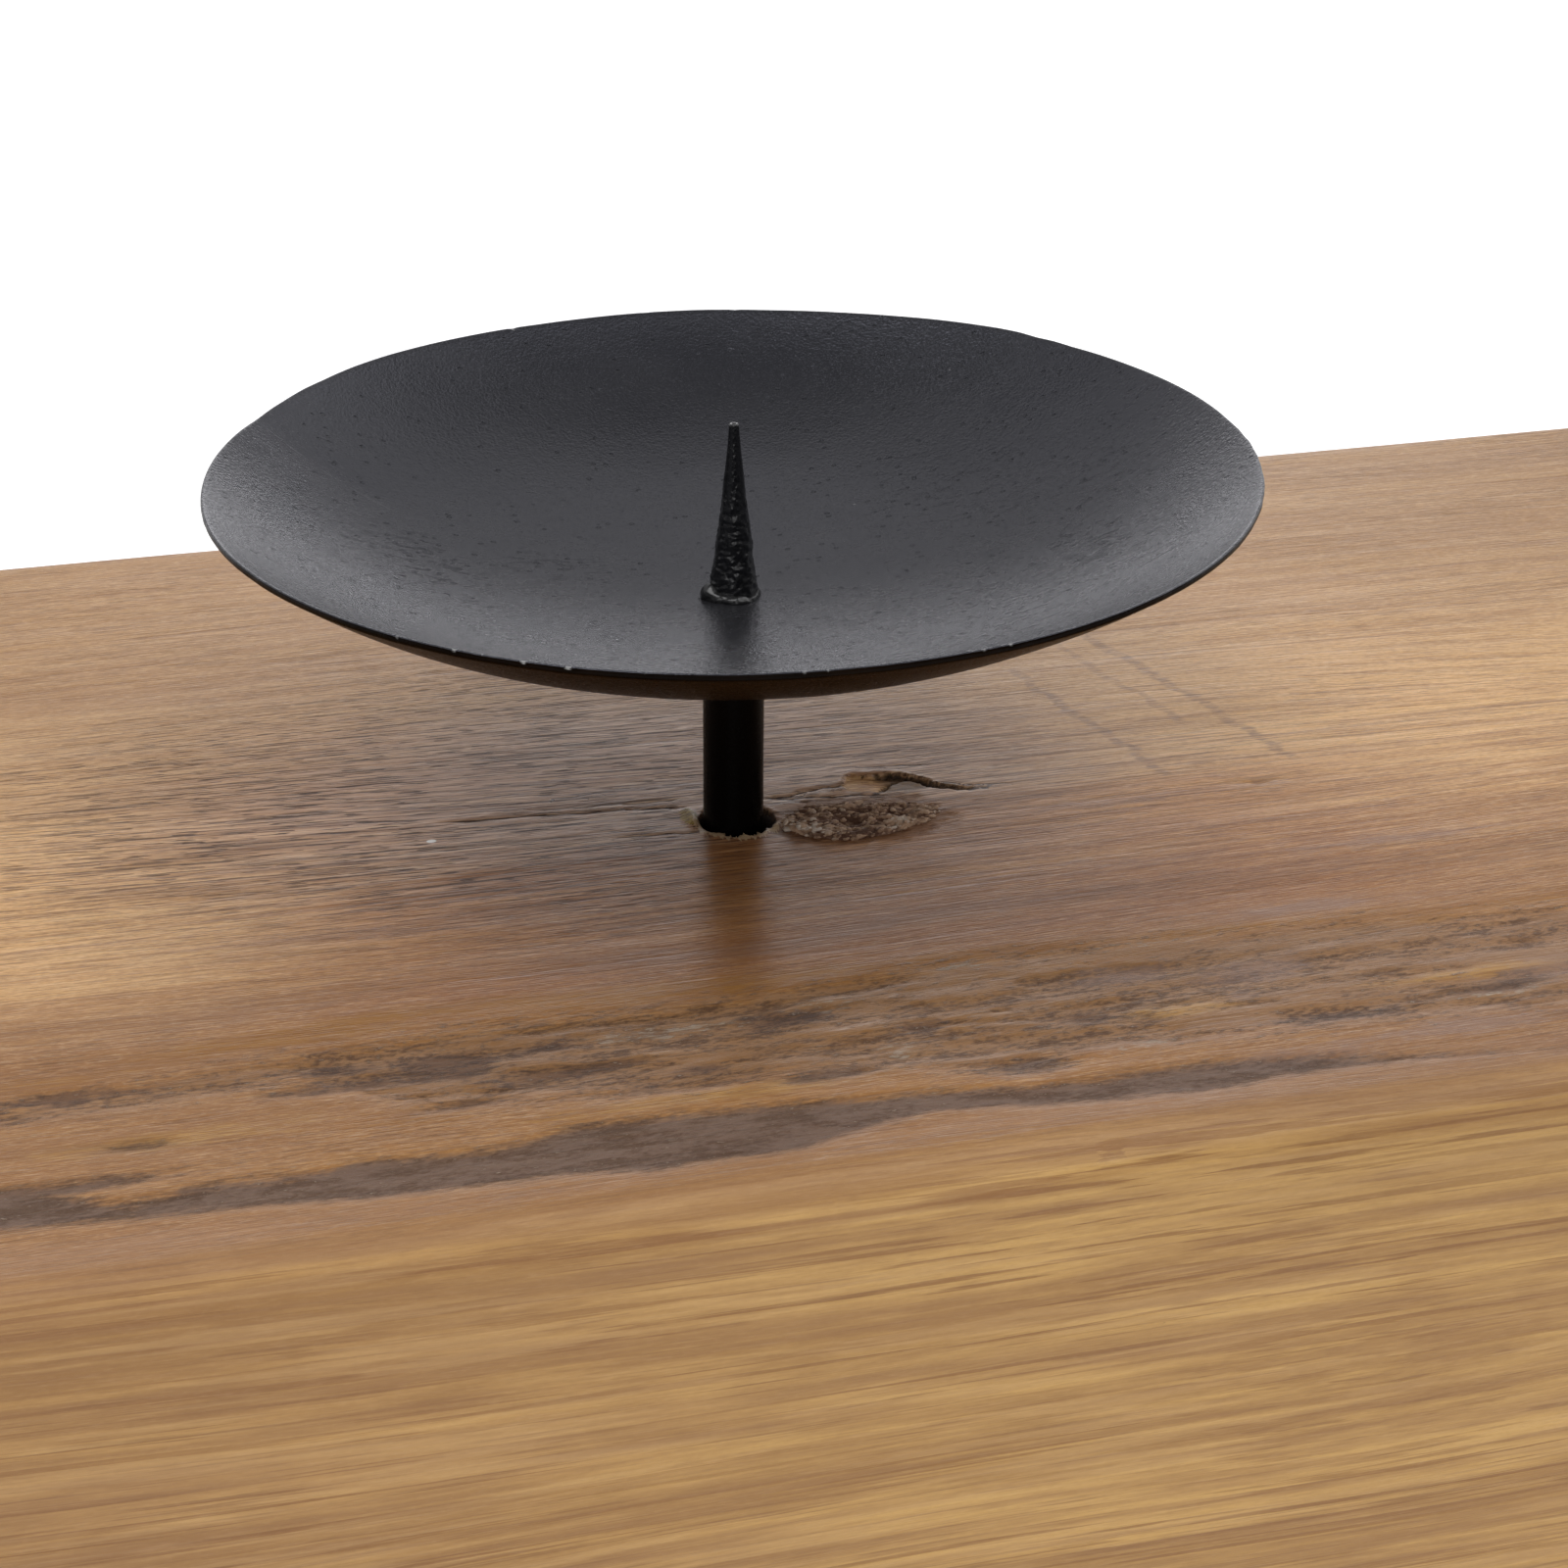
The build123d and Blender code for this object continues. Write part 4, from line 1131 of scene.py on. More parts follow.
def wood_material():
    s = Shade("timber")
    # the grain wanders a little, and runs askew near the socket
    wander = s.tree.nodes.new("ShaderNodeTexNoise")
    wander.inputs["Scale"].default_value = 1.0
    wander.inputs["Detail"].default_value = 1.0
    s.put(wander.inputs["Vector"], s.stretch(150, 40, 40))
    lean = s.step(s.math("ABSOLUTE", s.less(s.y, 2.0)), 24.0, 0.0)
    drift = s.tree.nodes.new("ShaderNodeCombineXYZ")
    s.put(drift.inputs[1], s.mul(s.mul(s.x, 0.075), lean))
    shift = s.vmath("MULTIPLY", s.vmath("SUBTRACT", wander.outputs["Color"], (0.5, 0.5, 0.5)), (0, 9, 9))
    s.mm = s.vmath("ADD", s.vmath("ADD", s.mm, shift), drift.outputs[0])
    end = s.step(s.math("ABSOLUTE", s.x), HALF_X - 1.0, HALF_X - 0.3)
    front = s.step(s.y, -HALF_Y + 5.5, -HALF_Y + 0.6)
    streak = s.noise(s.stretch(48, 1.9, 1.35), 4.0, 0.60)
    broad = s.noise(s.stretch(120, 11, 11, (1, 2, 3)), 2.0, 0.5)
    flake = s.noise(s.stretch(6.5, 1.25, 1.25, (5, 5, 0)), 3.0, 0.6)
    fibre = s.noise(s.stretch(3.4, 0.18, 0.18, (5, 0, 0)), 2.0, 0.6)
    grain = s.noise(s.stretch(0.8, 0.24, 0.24, (1, 5, 3)), 2.0, 0.6)
    tone = s.plus(s.plus(s.mul(s.less(streak, 0.5), 1.5), s.mul(s.less(broad, 0.5), 0.9)), s.mul(s.less(flake, 0.5), 0.50))
    # paler towards both ends and at the back right
    back = s.step(s.y, SY - 8, HALF_Y - 8)
    aside = s.most(s.step(s.x, SX + 26, SX + 62), s.step(s.x, SX - 34, SX - 78))
    pale_at = s.mul(aside, s.step(s.plus(s.y, s.mul(s.x, -0.11)), SY - 24, SY + 2))
    pale_at = s.mul(pale_at, s.less(1.0, s.mul(s.step(s.y, SY + 18, SY + 52), 0.95)))
    top_light = s.mix(pale_at, (0.520, 0.310, 0.142), (0.665, 0.415, 0.196))
    top_dark = s.mix(pale_at, (0.392, 0.210, 0.088), (0.540, 0.320, 0.143))
    top_color = s.mix(s.step(tone, -0.50, 0.50), top_light, top_dark)
    # darker and redder from before the socket on to the front arris: partly the wood's own tone, partly painted shade
    # cast forward by the dish
    slant = s.plus(s.y, s.mul(s.x, -0.07))
    top_color = s.mix(s.step(slant, SY - 6, SY - 27), top_color, (0.73, 0.635, 0.52), "MULTIPLY")
    # darker towards the back: painted shade that tones down the sheen there
    top_color = s.mix(s.step(s.y, SY + 24, SY + 58), top_color, (0.90, 0.89, 0.83), "MULTIPLY")
    top_color = s.mix(s.step(s.x, SX + 66, SX + 98), top_color, (0.91, 0.91, 0.88), "MULTIPLY")
    top_color = s.mix(1.0, top_color, (1.03, 0.99, 0.93), "MULTIPLY")
    face_color = s.mix(s.step(tone, -0.34, 0.38), (0.605, 0.368, 0.124), (0.365, 0.196, 0.056))
    face_color = s.mix(s.step(s.x, SX + 5, SX - 60), face_color, (0.86, 0.82, 0.86), "MULTIPLY")
    color = s.mix(front, top_color, face_color)
    # late wood: thin lines along the grain, orange-brown on the front
    line_a = s.step(s.plus(s.noise(s.stretch(72, 0.95, 0.62, (9, 1, 4)), 3.0, 0.56), s.mul(front, 0.026)), 0.565, 0.640)
    line_b = s.step(s.noise(s.stretch(26, 0.46, 0.38, (2, 8, 6)), 2.0, 0.6), 0.595, 0.69)
    group = s.step(s.noise(s.stretch(90, 7, 7, (3, 6, 2)), 2.0, 0.5), 0.36, 0.62)
    line_a = s.mul(line_a, s.plus(0.35, s.mul(group, 0.65)))
    # the figure is crisper across the middle
    crisp = s.step(s.math("ABSOLUTE", s.less(s.y, SY - 4)), 30.0, 11.0)
    vein = s.noise(s.stretch(19, 0.62, 0.62, (2, 9, 9)), 3.0, 0.62)
    color = s.mix(s.mul(line_a, s.plus(0.36, s.mul(front, 0.36))), color, (0.215, 0.088, 0.022))
    color = s.mix(s.mul(line_b, s.plus(0.34, s.mul(front, 0.10))), color, (0.185, 0.080, 0.026))
    color = s.mix(s.mul(s.step(fibre, 0.52, 0.72), s.plus(s.less(0.36, s.mul(front, 0.20)), s.mul(crisp, 0.30))), color, (0.170, 0.078, 0.036))
    color = s.mix(s.mul(s.step(fibre, 0.46, 0.26), s.plus(s.less(0.34, s.mul(front, 0.20)), s.mul(crisp, 0.18))), color, (0.710, 0.470, 0.255))
    color = s.mix(s.mul(s.step(vein, 0.53, 0.66), s.mul(crisp, 0.52)), color, (0.185, 0.084, 0.036))
    color = s.mix(s.mul(s.step(vein, 0.47, 0.34), s.mul(crisp, 0.30)), color, (0.740, 0.490, 0.265))
    band = s.noise(s.stretch(36, 2.5, 1.6, (7, 7, 2)), 3.0, 0.58)
    color = s.mix(s.mul(s.step(band, 0.52, 0.62), s.plus(s.mul(crisp, 0.34), s.mul(front, 0.24))), color, (0.250, 0.118, 0.040))
    color = s.mix(s.mul(s.step(band, 0.47, 0.38), s.plus(s.mul(crisp, 0.16), s.mul(front, 0.22))), color, (0.740, 0.480, 0.205))
    color = s.mix(s.mul(s.step(grain, 0.46, 0.66), s.less(0.22, s.mul(front, 0.16))), color, (0.220, 0.110, 0.055))
    color = s.mix(s.mul(s.step(grain, 0.50, 0.34), s.less(0.12, s.mul(front, 0.09))), color, (0.820, 0.600, 0.380))
    # open pores: short dark dashes, denser in places, and longer hair lines
    crowd = s.step(s.noise(s.stretch(38, 10, 10, (4, 4, 0)), 2.0, 0.5), 0.40, 0.62)
    # most of them lie round the socket and to its left
    spread = s.vmath("LENGTH", s.vmath("MULTIPLY", s.vmath("SUBTRACT", s.mm, (SX - 22, SY + 14, TOP)), (1 / 66, 1 / 38, 0)))
    crowd = s.math("ADD", s.mul(crowd, 0.22), s.step(spread, 1.1, 0.35, 0.0, 0.88), True)
    under_dish_light_shade = s.step(s.vmath("LENGTH", s.vmath("MULTIPLY", s.vmath("SUBTRACT", s.mm, (SX - 8, SY + 8, TOP)), (1 / 60, 1 / 26, 0))), 1.15, 0.35)
    # greyed and pinkish behind the socket, brown before it: painted light and sheen under the dish behind, painted
    # shade before it, mixed with the wood's own mottle and grain
    under_dish_light_shade_color = s.mix(s.step(s.y, SY - 8, SY + 5), (0.290, 0.112, 0.036), (0.455, 0.250, 0.148))
    mottle = s.noise(s.stretch(7, 1.6, 1.6, (8, 1, 6)), 3.0, 0.6)
    under_dish_light_shade_color = s.mix(s.mul(s.step(mottle, 0.50, 0.64), 0.50), under_dish_light_shade_color, (0.420, 0.240, 0.165))
    under_dish_light_shade_color = s.mix(s.mul(s.step(mottle, 0.46, 0.34), 0.45), under_dish_light_shade_color, (0.230, 0.095, 0.048))
    under_dish_light_shade_color = s.mix(s.mul(s.step(vein, 0.515, 0.61), 0.85), under_dish_light_shade_color, (0.125, 0.052, 0.026))
    under_dish_light_shade_color = s.mix(s.mul(s.step(vein, 0.475, 0.38), 0.70), under_dish_light_shade_color, (0.600, 0.375, 0.235))
    under_dish_light_shade_color = s.mix(s.mul(s.step(fibre, 0.50, 0.68), 0.55), under_dish_light_shade_color, (0.130, 0.055, 0.028))
    color = s.mix(s.mul(s.mul(under_dish_light_shade, s.less(1.0, front)), 0.70), color, under_dish_light_shade_color)
    # painted shadow of the dish: darker and warmer just before the socket
    near = s.mul(s.step(slant, SY + 1, SY - 8), s.mul(s.step(s.y, SY - 38, SY - 27), s.step(s.math("ABSOLUTE", s.less(s.x, 8.0)), 70.0, 36.0)))
    color = s.mix(near, color, (0.93, 0.77, 0.60), "MULTIPLY")
    color = s.mix(s.mul(crisp, s.step(s.math("ABSOLUTE", s.x), 24.0, 60.0)), color, (1.15, 1.14, 1.10), "MULTIPLY")
    pore = s.step(s.noise(s.stretch(3.8, 0.22, 0.22, (0, 3, 9)), 1.0, 0.5), 0.590, 0.635)
    hair = s.step(s.noise(s.stretch(24, 0.26, 0.26, (6, 3, 2)), 2.0, 0.55), 0.595, 0.650)
    pore = s.most(s.mul(pore, s.plus(0.08, s.mul(crowd, 0.92))), s.mul(hair, s.plus(0.16, s.mul(crowd, 0.74))))
    pore = s.mul(pore, s.less(1.0, s.mul(front, 0.80)))
    color = s.mix(s.mul(pore, 0.92), color, (0.058, 0.025, 0.013))
    # marks across the grain, broken up into short dashes
    broken = s.step(s.noise(s.stretch(1.9, 0.42, 0.42, (7, 7, 7)), 2.0, 0.6), 0.42, 0.58)
    jog = s.mul(s.less(s.noise(s.stretch(7, 2.4, 3), 2.0, 0.5), 0.5), 2.6)
    scar = s.most(
        s.most(s.line((SX + 50.2, SY + 38.6), (SX + 60.5, SY - 0.5), 1.0, jog), s.line((SX + 39.0, SY + 28.5), (SX + 46.3, SY - 1.0), 0.9, jog)),
        s.mul(s.line((SX + 46.6, SY + 35.0), (SX + 52.6, SY + 11.0), 0.8, jog), 0.7),
    )
    color = s.mix(s.mul(s.mul(scar, s.plus(0.30, s.mul(broken, 0.70))), 0.55), color, (0.170, 0.090, 0.052))
    # a pinkish, paler strip along the front arris: painted sheen
    arris_sheen_paint = s.mul(s.step(s.plus(s.y, s.mul(s.less(streak, 0.5), 5.0)), SY - 70.0, SY - 66.0), s.step(s.plus(s.y, s.mul(s.less(flake, 0.5), 4.0)), SY - 58.5, SY - 62.0))
    color = s.mix(s.mul(arris_sheen_paint, 0.42), color, (0.365, 0.208, 0.118))
    corner = s.mul(s.step(s.x, SX + 5, SX + 40), s.mul(s.step(s.y, SY - 48, SY - 57), s.step(s.z, TOP - 15, TOP - 7)))
    color = s.mix(corner, color, (0.88, 0.865, 0.86), "MULTIPLY")
    # weathered and stained places
    grit = s.less(s.noise(s.stretch(3.4, 0.62, 0.62, (3, 3, 3)), 4.0, 0.70), 0.5)
    rag = s.less(s.noise(s.stretch(0.9, 0.34, 0.5, (6, 1, 3)), 3.0, 0.65), 0.5)
    blot = s.noise(s.stretch(5.5, 1.5, 1.5, (6, 3, 3)), 3.0, 0.62)
    ragged = s.plus(s.mul(grit, 3.4), s.mul(rag, 2.2))

    def area(name, lo=-0.35, hi=0.65, more=1.0):
        return s.step(s.plus(s.mark(name), s.mul(ragged, more)), lo, hi)

    zone = area("zone", -1.6, 2.0)
    worn = area("worn", -0.9, 1.1, 1.6)
    stain = area("dark", -0.85, 0.95, 0.8)
    gold = area("gold", -0.8, 1.1, 0.9)
    lilac = area("lilac", -0.9, 1.2)
    pale = s.mul(area("pale", -0.3, 1.0), s.step(s.plus(grit, s.mul(rag, 0.7)), -0.04, 0.16))
    color = s.mix(s.mul(zone, 0.50), color, (0.215, 0.115, 0.052))
    gold_color = s.mix(s.step(s.y, SY - 37, SY - 42), (0.320, 0.142, 0.026), (0.455, 0.250, 0.074))
    gold_color = s.mix(s.mul(s.step(s.plus(fibre, s.mul(s.less(streak, 0.5), 0.8)), 0.42, 0.60), 0.6), gold_color, (0.230, 0.095, 0.028))
    color = s.mix(s.mul(gold, 0.84), color, gold_color)
    color = s.mix(s.mul(s.mark("brown"), s.plus(0.26, s.mul(streak, 0.55))), color, (0.200, 0.095, 0.048))
    worn_color = s.mix(s.step(s.plus(blot, s.mul(rag, 1.0)), 0.34, 0.64), (0.330, 0.182, 0.090), (0.100, 0.050, 0.026))
    color = s.mix(s.mul(worn, 0.85), color, worn_color)
    color = s.mix(s.mul(lilac, 0.45), color, (0.270, 0.180, 0.145))
    stain_color = s.mix(s.step(s.y, SY - 53, SY - 50), (0.162, 0.108, 0.084), (0.150, 0.080, 0.047))
    stain_color = s.mix(s.step(s.plus(blot, s.mul(rag, 0.8)), 0.36, 0.66), stain_color, (0.074, 0.042, 0.028))
    color = s.mix(s.mul(stain, 0.86), color, stain_color)
    fleck = s.step(rag, 0.13, 0.22)
    color = s.mix(s.mul(s.mul(fleck, s.most(worn, stain)), 0.60), color, (0.400, 0.320, 0.245))
    color = s.mix(s.mul(pale, 0.72), color, (0.430, 0.340, 0.250))
    # crumbled wood round the filled hole
    chew = s.step(s.plus(s.mark("chew"), s.mul(rag, 3.0)), -0.3, 0.9)
    chew_color = s.mix(s.step(rag, -0.12, 0.14), (0.165, 0.085, 0.048), (0.350, 0.215, 0.140))
    chew_color = s.mix(s.mul(s.step(s.y, SY - 4.6, SY - 6.4), 0.7), chew_color, s.mix(s.step(rag, -0.14, 0.12), (0.120, 0.050, 0.026), (0.330, 0.165, 0.090)))
    color = s.mix(s.mul(chew, 0.62), color, chew_color)
    # a darker orange band just before the socket, leaning towards the camera: painted reflection of the stem
    askew = s.less(s.less(s.x, SX + 1.2), s.mul(s.less(s.y, SY - 5), 0.22))
    stem_reflection_paint = s.mul(s.step(s.math("ABSOLUTE", s.plus(askew, s.plus(s.mul(rag, 2.2), s.mul(s.less(flake, 0.5), 9.0)))), 9.0, 3.6), s.mul(s.step(s.y, SY - 31.0, SY - 10.0), s.step(s.y, SY - 3.0, SY - 4.4)))
    color = s.mix(s.mul(stem_reflection_paint, 0.32), color, s.mix(s.step(fibre, 0.40, 0.60), (0.275, 0.120, 0.040), (0.150, 0.060, 0.020)))
    # torn, cracked and drilled places
    raw = s.step(s.plus(s.mark("raw"), s.mul(rag, 1.3)), 0.28, 0.60)
    threads = s.step(s.noise(s.stretch(2.4, 0.30, 0.40), 3.0, 0.65), 0.38, 0.62)
    raw_color = s.mix(threads, (0.640, 0.375, 0.165), (0.350, 0.165, 0.062))
    raw_color = s.mix(s.step(s.x, SX + 16.0, SX + 18.5), raw_color, s.mix(threads, (0.150, 0.080, 0.034), (0.062, 0.032, 0.016)))
    raw_color = s.mix(s.mul(s.mark("loose"), 0.85), raw_color, s.mix(threads, (0.255, 0.160, 0.085), (0.140, 0.080, 0.042)))
    color = s.mix(s.mul(raw, 0.94), color, raw_color)
    olive = s.step(s.plus(s.mark("olive"), s.mul(rag, 1.0)), 0.35, 0.60)
    color = s.mix(s.mul(olive, 0.92), color, s.mix(threads, (0.400, 0.260, 0.045), (0.200, 0.120, 0.024)))
    crack = s.mul(s.step(s.plus(s.math("ABSOLUTE", s.mark("crack_s")), s.mul(rag, 0.22)), 0.14, 0.04), s.mark("crack_m"))
    color = s.mix(s.mul(crack, 0.85), color, (0.036, 0.020, 0.012))
    # painted shade: near-black down the socket's bore, in the filled hole's pocket and inside the end checks
    color = s.mix(s.mark("deep"), color, (0.014, 0.008, 0.005))
    teeth = s.noise(s.stretch(0.26, 1.6, 0.9, (2, 6, 1)), 2.0, 0.6)
    teeth = s.step(s.plus(s.mark("fringe"), s.mul(s.less(teeth, 0.5), 2.6)), 0.20, 0.45)
    color = s.mix(s.mul(teeth, 0.85), color, (0.560, 0.390, 0.225))
    speck_at = s.vmath("LENGTH", s.vmath("MULTIPLY", s.vmath("SUBTRACT", s.flat, (SX - 30.04, SY + 2.87, 0)), (1 / 0.50, 1 / 0.36, 0)))
    color = s.mix(s.mul(s.step(speck_at, 1.15, 0.75), s.step(s.z, TOP - 1.5, TOP - 1.0)), color, (0.860, 0.820, 0.760))
    # end grain takes the oil and is darker, with growth rings round a heart below and behind the socket
    ry, rz = s.less(s.y, 30.0), s.plus(s.z, 22.0)
    ring = s.math("SQRT", s.plus(s.mul(ry, ry), s.mul(rz, rz)))
    ring = s.plus(ring, s.mul(s.noise(s.stretch(90, 26, 26, (2, 2, 2)), 2.0, 0.5), 9.0))
    rings = s.noise1(s.mul(ring, 0.42), 3.0, 0.6)
    saw = s.noise(s.stretch(50, 0.8, 28, (0, 3, 3)), 2.0, 0.6)
    color = s.mix(s.mul(end, 0.60), color, s.mix(s.step(rings, 0.38, 0.62), (0.265, 0.150, 0.070), (0.130, 0.062, 0.028)))
    color = s.mix(s.mul(end, s.mul(s.step(saw, 0.5, 0.75), 0.30)), color, (0.340, 0.215, 0.110))
    under = s.step(s.z, 1.5, 0.4)
    color = s.mix(s.mul(under, 0.3), color, (0.20, 0.12, 0.07))
    dull = s.most(s.most(s.mul(worn, 0.8), stain), s.most(s.most(raw, chew), end))
    rough = s.plus(0.325, s.plus(s.mul(s.less(streak, 0.5), 0.16), s.mul(s.less(fibre, 0.5), 0.20)))
    rough = s.plus(rough, s.mul(dull, 0.20))
    rough = s.math("ADD", rough, s.mul(pore, 0.2), True)
    height = s.plus(s.mul(fibre, 0.45), s.mul(flake, 0.35))
    height = s.less(height, s.mul(pore, 0.90))
    height = s.less(height, s.mul(line_a, 0.20))
    height = s.less(height, s.mul(crack, 1.6))
    height = s.plus(height, s.mul(s.plus(s.mul(grit, 2.2), s.mul(rag, 1.6)), s.most(s.most(worn, stain), chew)))
    height = s.plus(height, s.mul(s.mul(saw, end), 1.2))
    normal = s.bump(height, 0.00011)
    return s.finish(color, rough, normal, Specular_IOR_Level=0.24)


def filler_material():
    s = Shade("filler")
    crumb, gap = s.mark("crumb"), s.mark("gap")
    fine = s.noise(s.stretch(0.42, 0.42, 0.42), 4.0, 0.7)
    broad = s.noise(s.stretch(2.6, 1.3, 2.0, (4, 1, 7)), 2.0, 0.6)
    tint = s.plus(s.plus(crumb, s.mul(s.less(fine, 0.5), 1.7)), s.mul(s.less(broad, 0.5), 1.6))
    powder = s.most(
        s.step(s.vmath("LENGTH", s.vmath("MULTIPLY", s.vmath("SUBTRACT", s.mm, (SX + 6.4, SY - 3.7, TOP)), (1 / 2.7, 1 / 2.3, 0))), 1.2, 0.4),
        s.step(s.vmath("LENGTH", s.vmath("MULTIPLY", s.vmath("SUBTRACT", s.mm, (SX + 15.7, SY - 4.6, TOP)), (1 / 1.4, 1 / 1.9, 0))), 1.2, 0.4),
    )
    tint = s.plus(tint, s.mul(powder, 0.35))
    color = s.mix(s.step(tint, -0.80, 0.25), (0.135, 0.060, 0.032), (0.520, 0.330, 0.205))
    color = s.mix(s.step(tint, 0.10, 1.05), color, (0.680, 0.560, 0.455))
    # painted shade in the gaps between the crumbs
    color = s.mix(s.mul(s.step(gap, 0.40, 0.66), 0.58), color, (0.085, 0.040, 0.022))
    normal = s.bump(s.noise(s.stretch(0.26, 0.26, 0.26), 3.0, 0.7), 0.00016)
    return s.finish(color, s.plus(0.62, s.mul(fine, 0.3)), normal)


def dish_material():
    s = Shade("dish_black")
    peel = s.noise(s.stretch(0.80, 0.80, 0.80), 2.0, 0.55)
    fine = s.noise(s.stretch(0.29, 0.31, 0.29), 2.0, 0.6)
    cloud = s.noise(s.stretch(15, 9, 15), 3.0, 0.55)
    grainy, pitted = s.mark("grainy"), s.mark("pitted")
    bead_d, _ = s.spots(s.stretch(0.70, 0.62, 0.70))
    pit_d, pit_c = s.spots(s.stretch(1.15, 0.8, 1.15, (3, 5, 1)))
    pick = s.tree.nodes.new("ShaderNodeSeparateColor")
    s.tree.links.new(pit_c, pick.inputs[0])
    chosen = s.step(s.plus(pick.outputs[0], s.mul(pitted, 0.50)), 0.78, 0.84)
    pit = s.mul(s.step(pit_d, 0.27, 0.15), chosen)
    streak = s.noise(s.stretch(1.8, 0.8, 1.6, (2, 2, 2)), 3.0, 0.65)
    scuff = s.mul(s.step(streak, 0.55, 0.70), s.mul(pitted, 0.95))
    color = s.mix(s.step(cloud, 0.35, 0.7), (0.0070, 0.0070, 0.0082), (0.0110, 0.0110, 0.0122))
    color = s.mix(s.mul(s.mark("soot"), 0.6), color, (0.0090, 0.0092, 0.0086))
    color = s.mix(s.mul(pit, 0.9), color, (0.003, 0.003, 0.003))
    color = s.mix(s.mul(scuff, 0.5), color, (0.005, 0.005, 0.005))
    # bare scratches and a few pale flecks
    scratch = s.line((SX - 41.2, SY + 26.4), (SX - 30.0, SY + 18.9), 0.10)
    scratch = s.mul(scratch, s.step(s.noise(s.stretch(1.5, 1.5, 1.5), 2.0, 0.6), 0.35, 0.6))
    color = s.mix(s.mul(scratch, 0.30), color, (0.150, 0.150, 0.155))
    fleck_d, fleck_c = s.spots(s.stretch(5.5, 5.5, 5.5, (1, 9, 4)))
    pick2 = s.tree.nodes.new("ShaderNodeSeparateColor")
    s.tree.links.new(fleck_c, pick2.inputs[0])
    fleck = s.mul(s.step(fleck_d, 0.045, 0.028), s.step(pick2.outputs[1], 0.80, 0.82))
    color = s.mix(s.mul(fleck, 0.5), color, (0.200, 0.200, 0.200))
    chip = s.step(s.plus(s.mark("chip"), s.mul(s.less(fine, 0.5), 0.9)), 0.42, 0.80)
    color = s.mix(s.mul(chip, 0.80), color, (0.330, 0.325, 0.315))
    edge = s.noise(s.stretch(1.1, 1.1, 0.8, (8, 8, 2)), 3.0, 0.65)
    rough = s.plus(0.262, s.mul(s.less(cloud, 0.5), 0.10))
    rough = s.plus(rough, s.mul(s.less(streak, 0.5), 0.10))
    rough = s.plus(rough, s.mul(s.most(chip, s.mul(scuff, 0.5)), 0.22))
    height = s.plus(s.mul(peel, 0.24), s.mul(fine, s.plus(0.56, s.mul(grainy, 0.22))))
    height = s.plus(height, s.mul(s.mul(s.step(bead_d, 0.55, 0.1), grainy), 0.16))
    height = s.less(height, s.mul(pit, 1.2))
    height = s.less(height, s.mul(scuff, 0.7))
    height = s.less(height, s.mul(chip, 0.5))
    height = s.plus(height, s.mul(edge, 0.10))
    normal = s.bump(height, 0.000135)
    return s.finish(color, rough, normal, Specular_IOR_Level=0.5, Specular_Tint=(0.93, 0.95, 1.12, 1))


def edge_material():
    """The dish's cut edge and underside: the same paint, duller, its black warmed to orange-brown as a painted
    reflection of the wood below, bare in small spots on the edge.
    """
    s = Shade("dish_edge")
    fine = s.noise(s.stretch(0.35, 0.35, 0.35), 3.0, 0.6)
    broad = s.noise(s.stretch(6, 6, 3, (4, 4, 4)), 3.0, 0.6)
    # black warmed to orange-brown: painted reflection of the wood below
    color = s.mix(s.step(broad, 0.35, 0.7), (0.0028, 0.0012, 0.0004), (0.0060, 0.0025, 0.0007))
    chip = s.step(s.plus(s.mark("chip"), s.mul(s.less(fine, 0.5), 0.9)), 0.45, 0.85)
    color = s.mix(s.mul(chip, 0.75), color, (0.330, 0.325, 0.315))
    normal = s.bump(s.plus(s.mul(fine, 0.5), broad), 0.00008)
    return s.finish(color, s.plus(0.29, s.mul(s.less(fine, 0.5), 0.2)), normal, Specular_IOR_Level=0.04)


def black_material(name, base, rough, bump, scale, gloss):
    s = Shade(name)
    peel = s.noise(s.stretch(scale, scale, scale * 1.2), 3.0, 0.6)
    big = s.noise(s.stretch(scale * 7, scale * 7, scale * 9, (2, 5, 8)), 2.0, 0.5)
    worn = s.step(s.noise(s.stretch(scale * 2.2, scale * 2.2, scale, (7, 1, 3)), 4.0, 0.7), 0.66, 0.78)
    color = s.mix(big, tuple(c * 0.75 for c in base), tuple(c * 1.3 for c in base))
    color = s.mix(s.mul(worn, 0.25), color, (0.020, 0.017, 0.015))
    r = s.plus(rough, s.plus(s.mul(s.less(peel, 0.5), 0.12), s.mul(worn, 0.10)))
    return s.finish(color, r, s.bump(peel, bump), Specular_IOR_Level=gloss)


def dress(piece, material):
    piece.data.materials.clear()
    piece.data.materials.append(material)


dress(beam, wood_material())
dress(filler, filler_material())
dress(dish, dish_material())
dish.data.materials.append(edge_material())
low_faces = np.arange(len(dish.data.polygons)) >= TOP_RINGS * SIDES
dish.data.polygons.foreach_set("material_index", low_faces.astype(np.int32))
dress(stem, black_material("black_paint", (0.0011, 0.0010, 0.0010), 0.26, 0.00003, 0.5, 0.08))
dress(spike, black_material("spike_black", (0.0022, 0.0022, 0.0028), 0.13, 0.00005, 0.30, 0.5))
weld_black = black_material("weld_black", (0.0028, 0.0028, 0.003), 0.13, 0.00004, 0.35, 0.5)
dress(spike_weld, weld_black)
dress(stem_weld, weld_black)

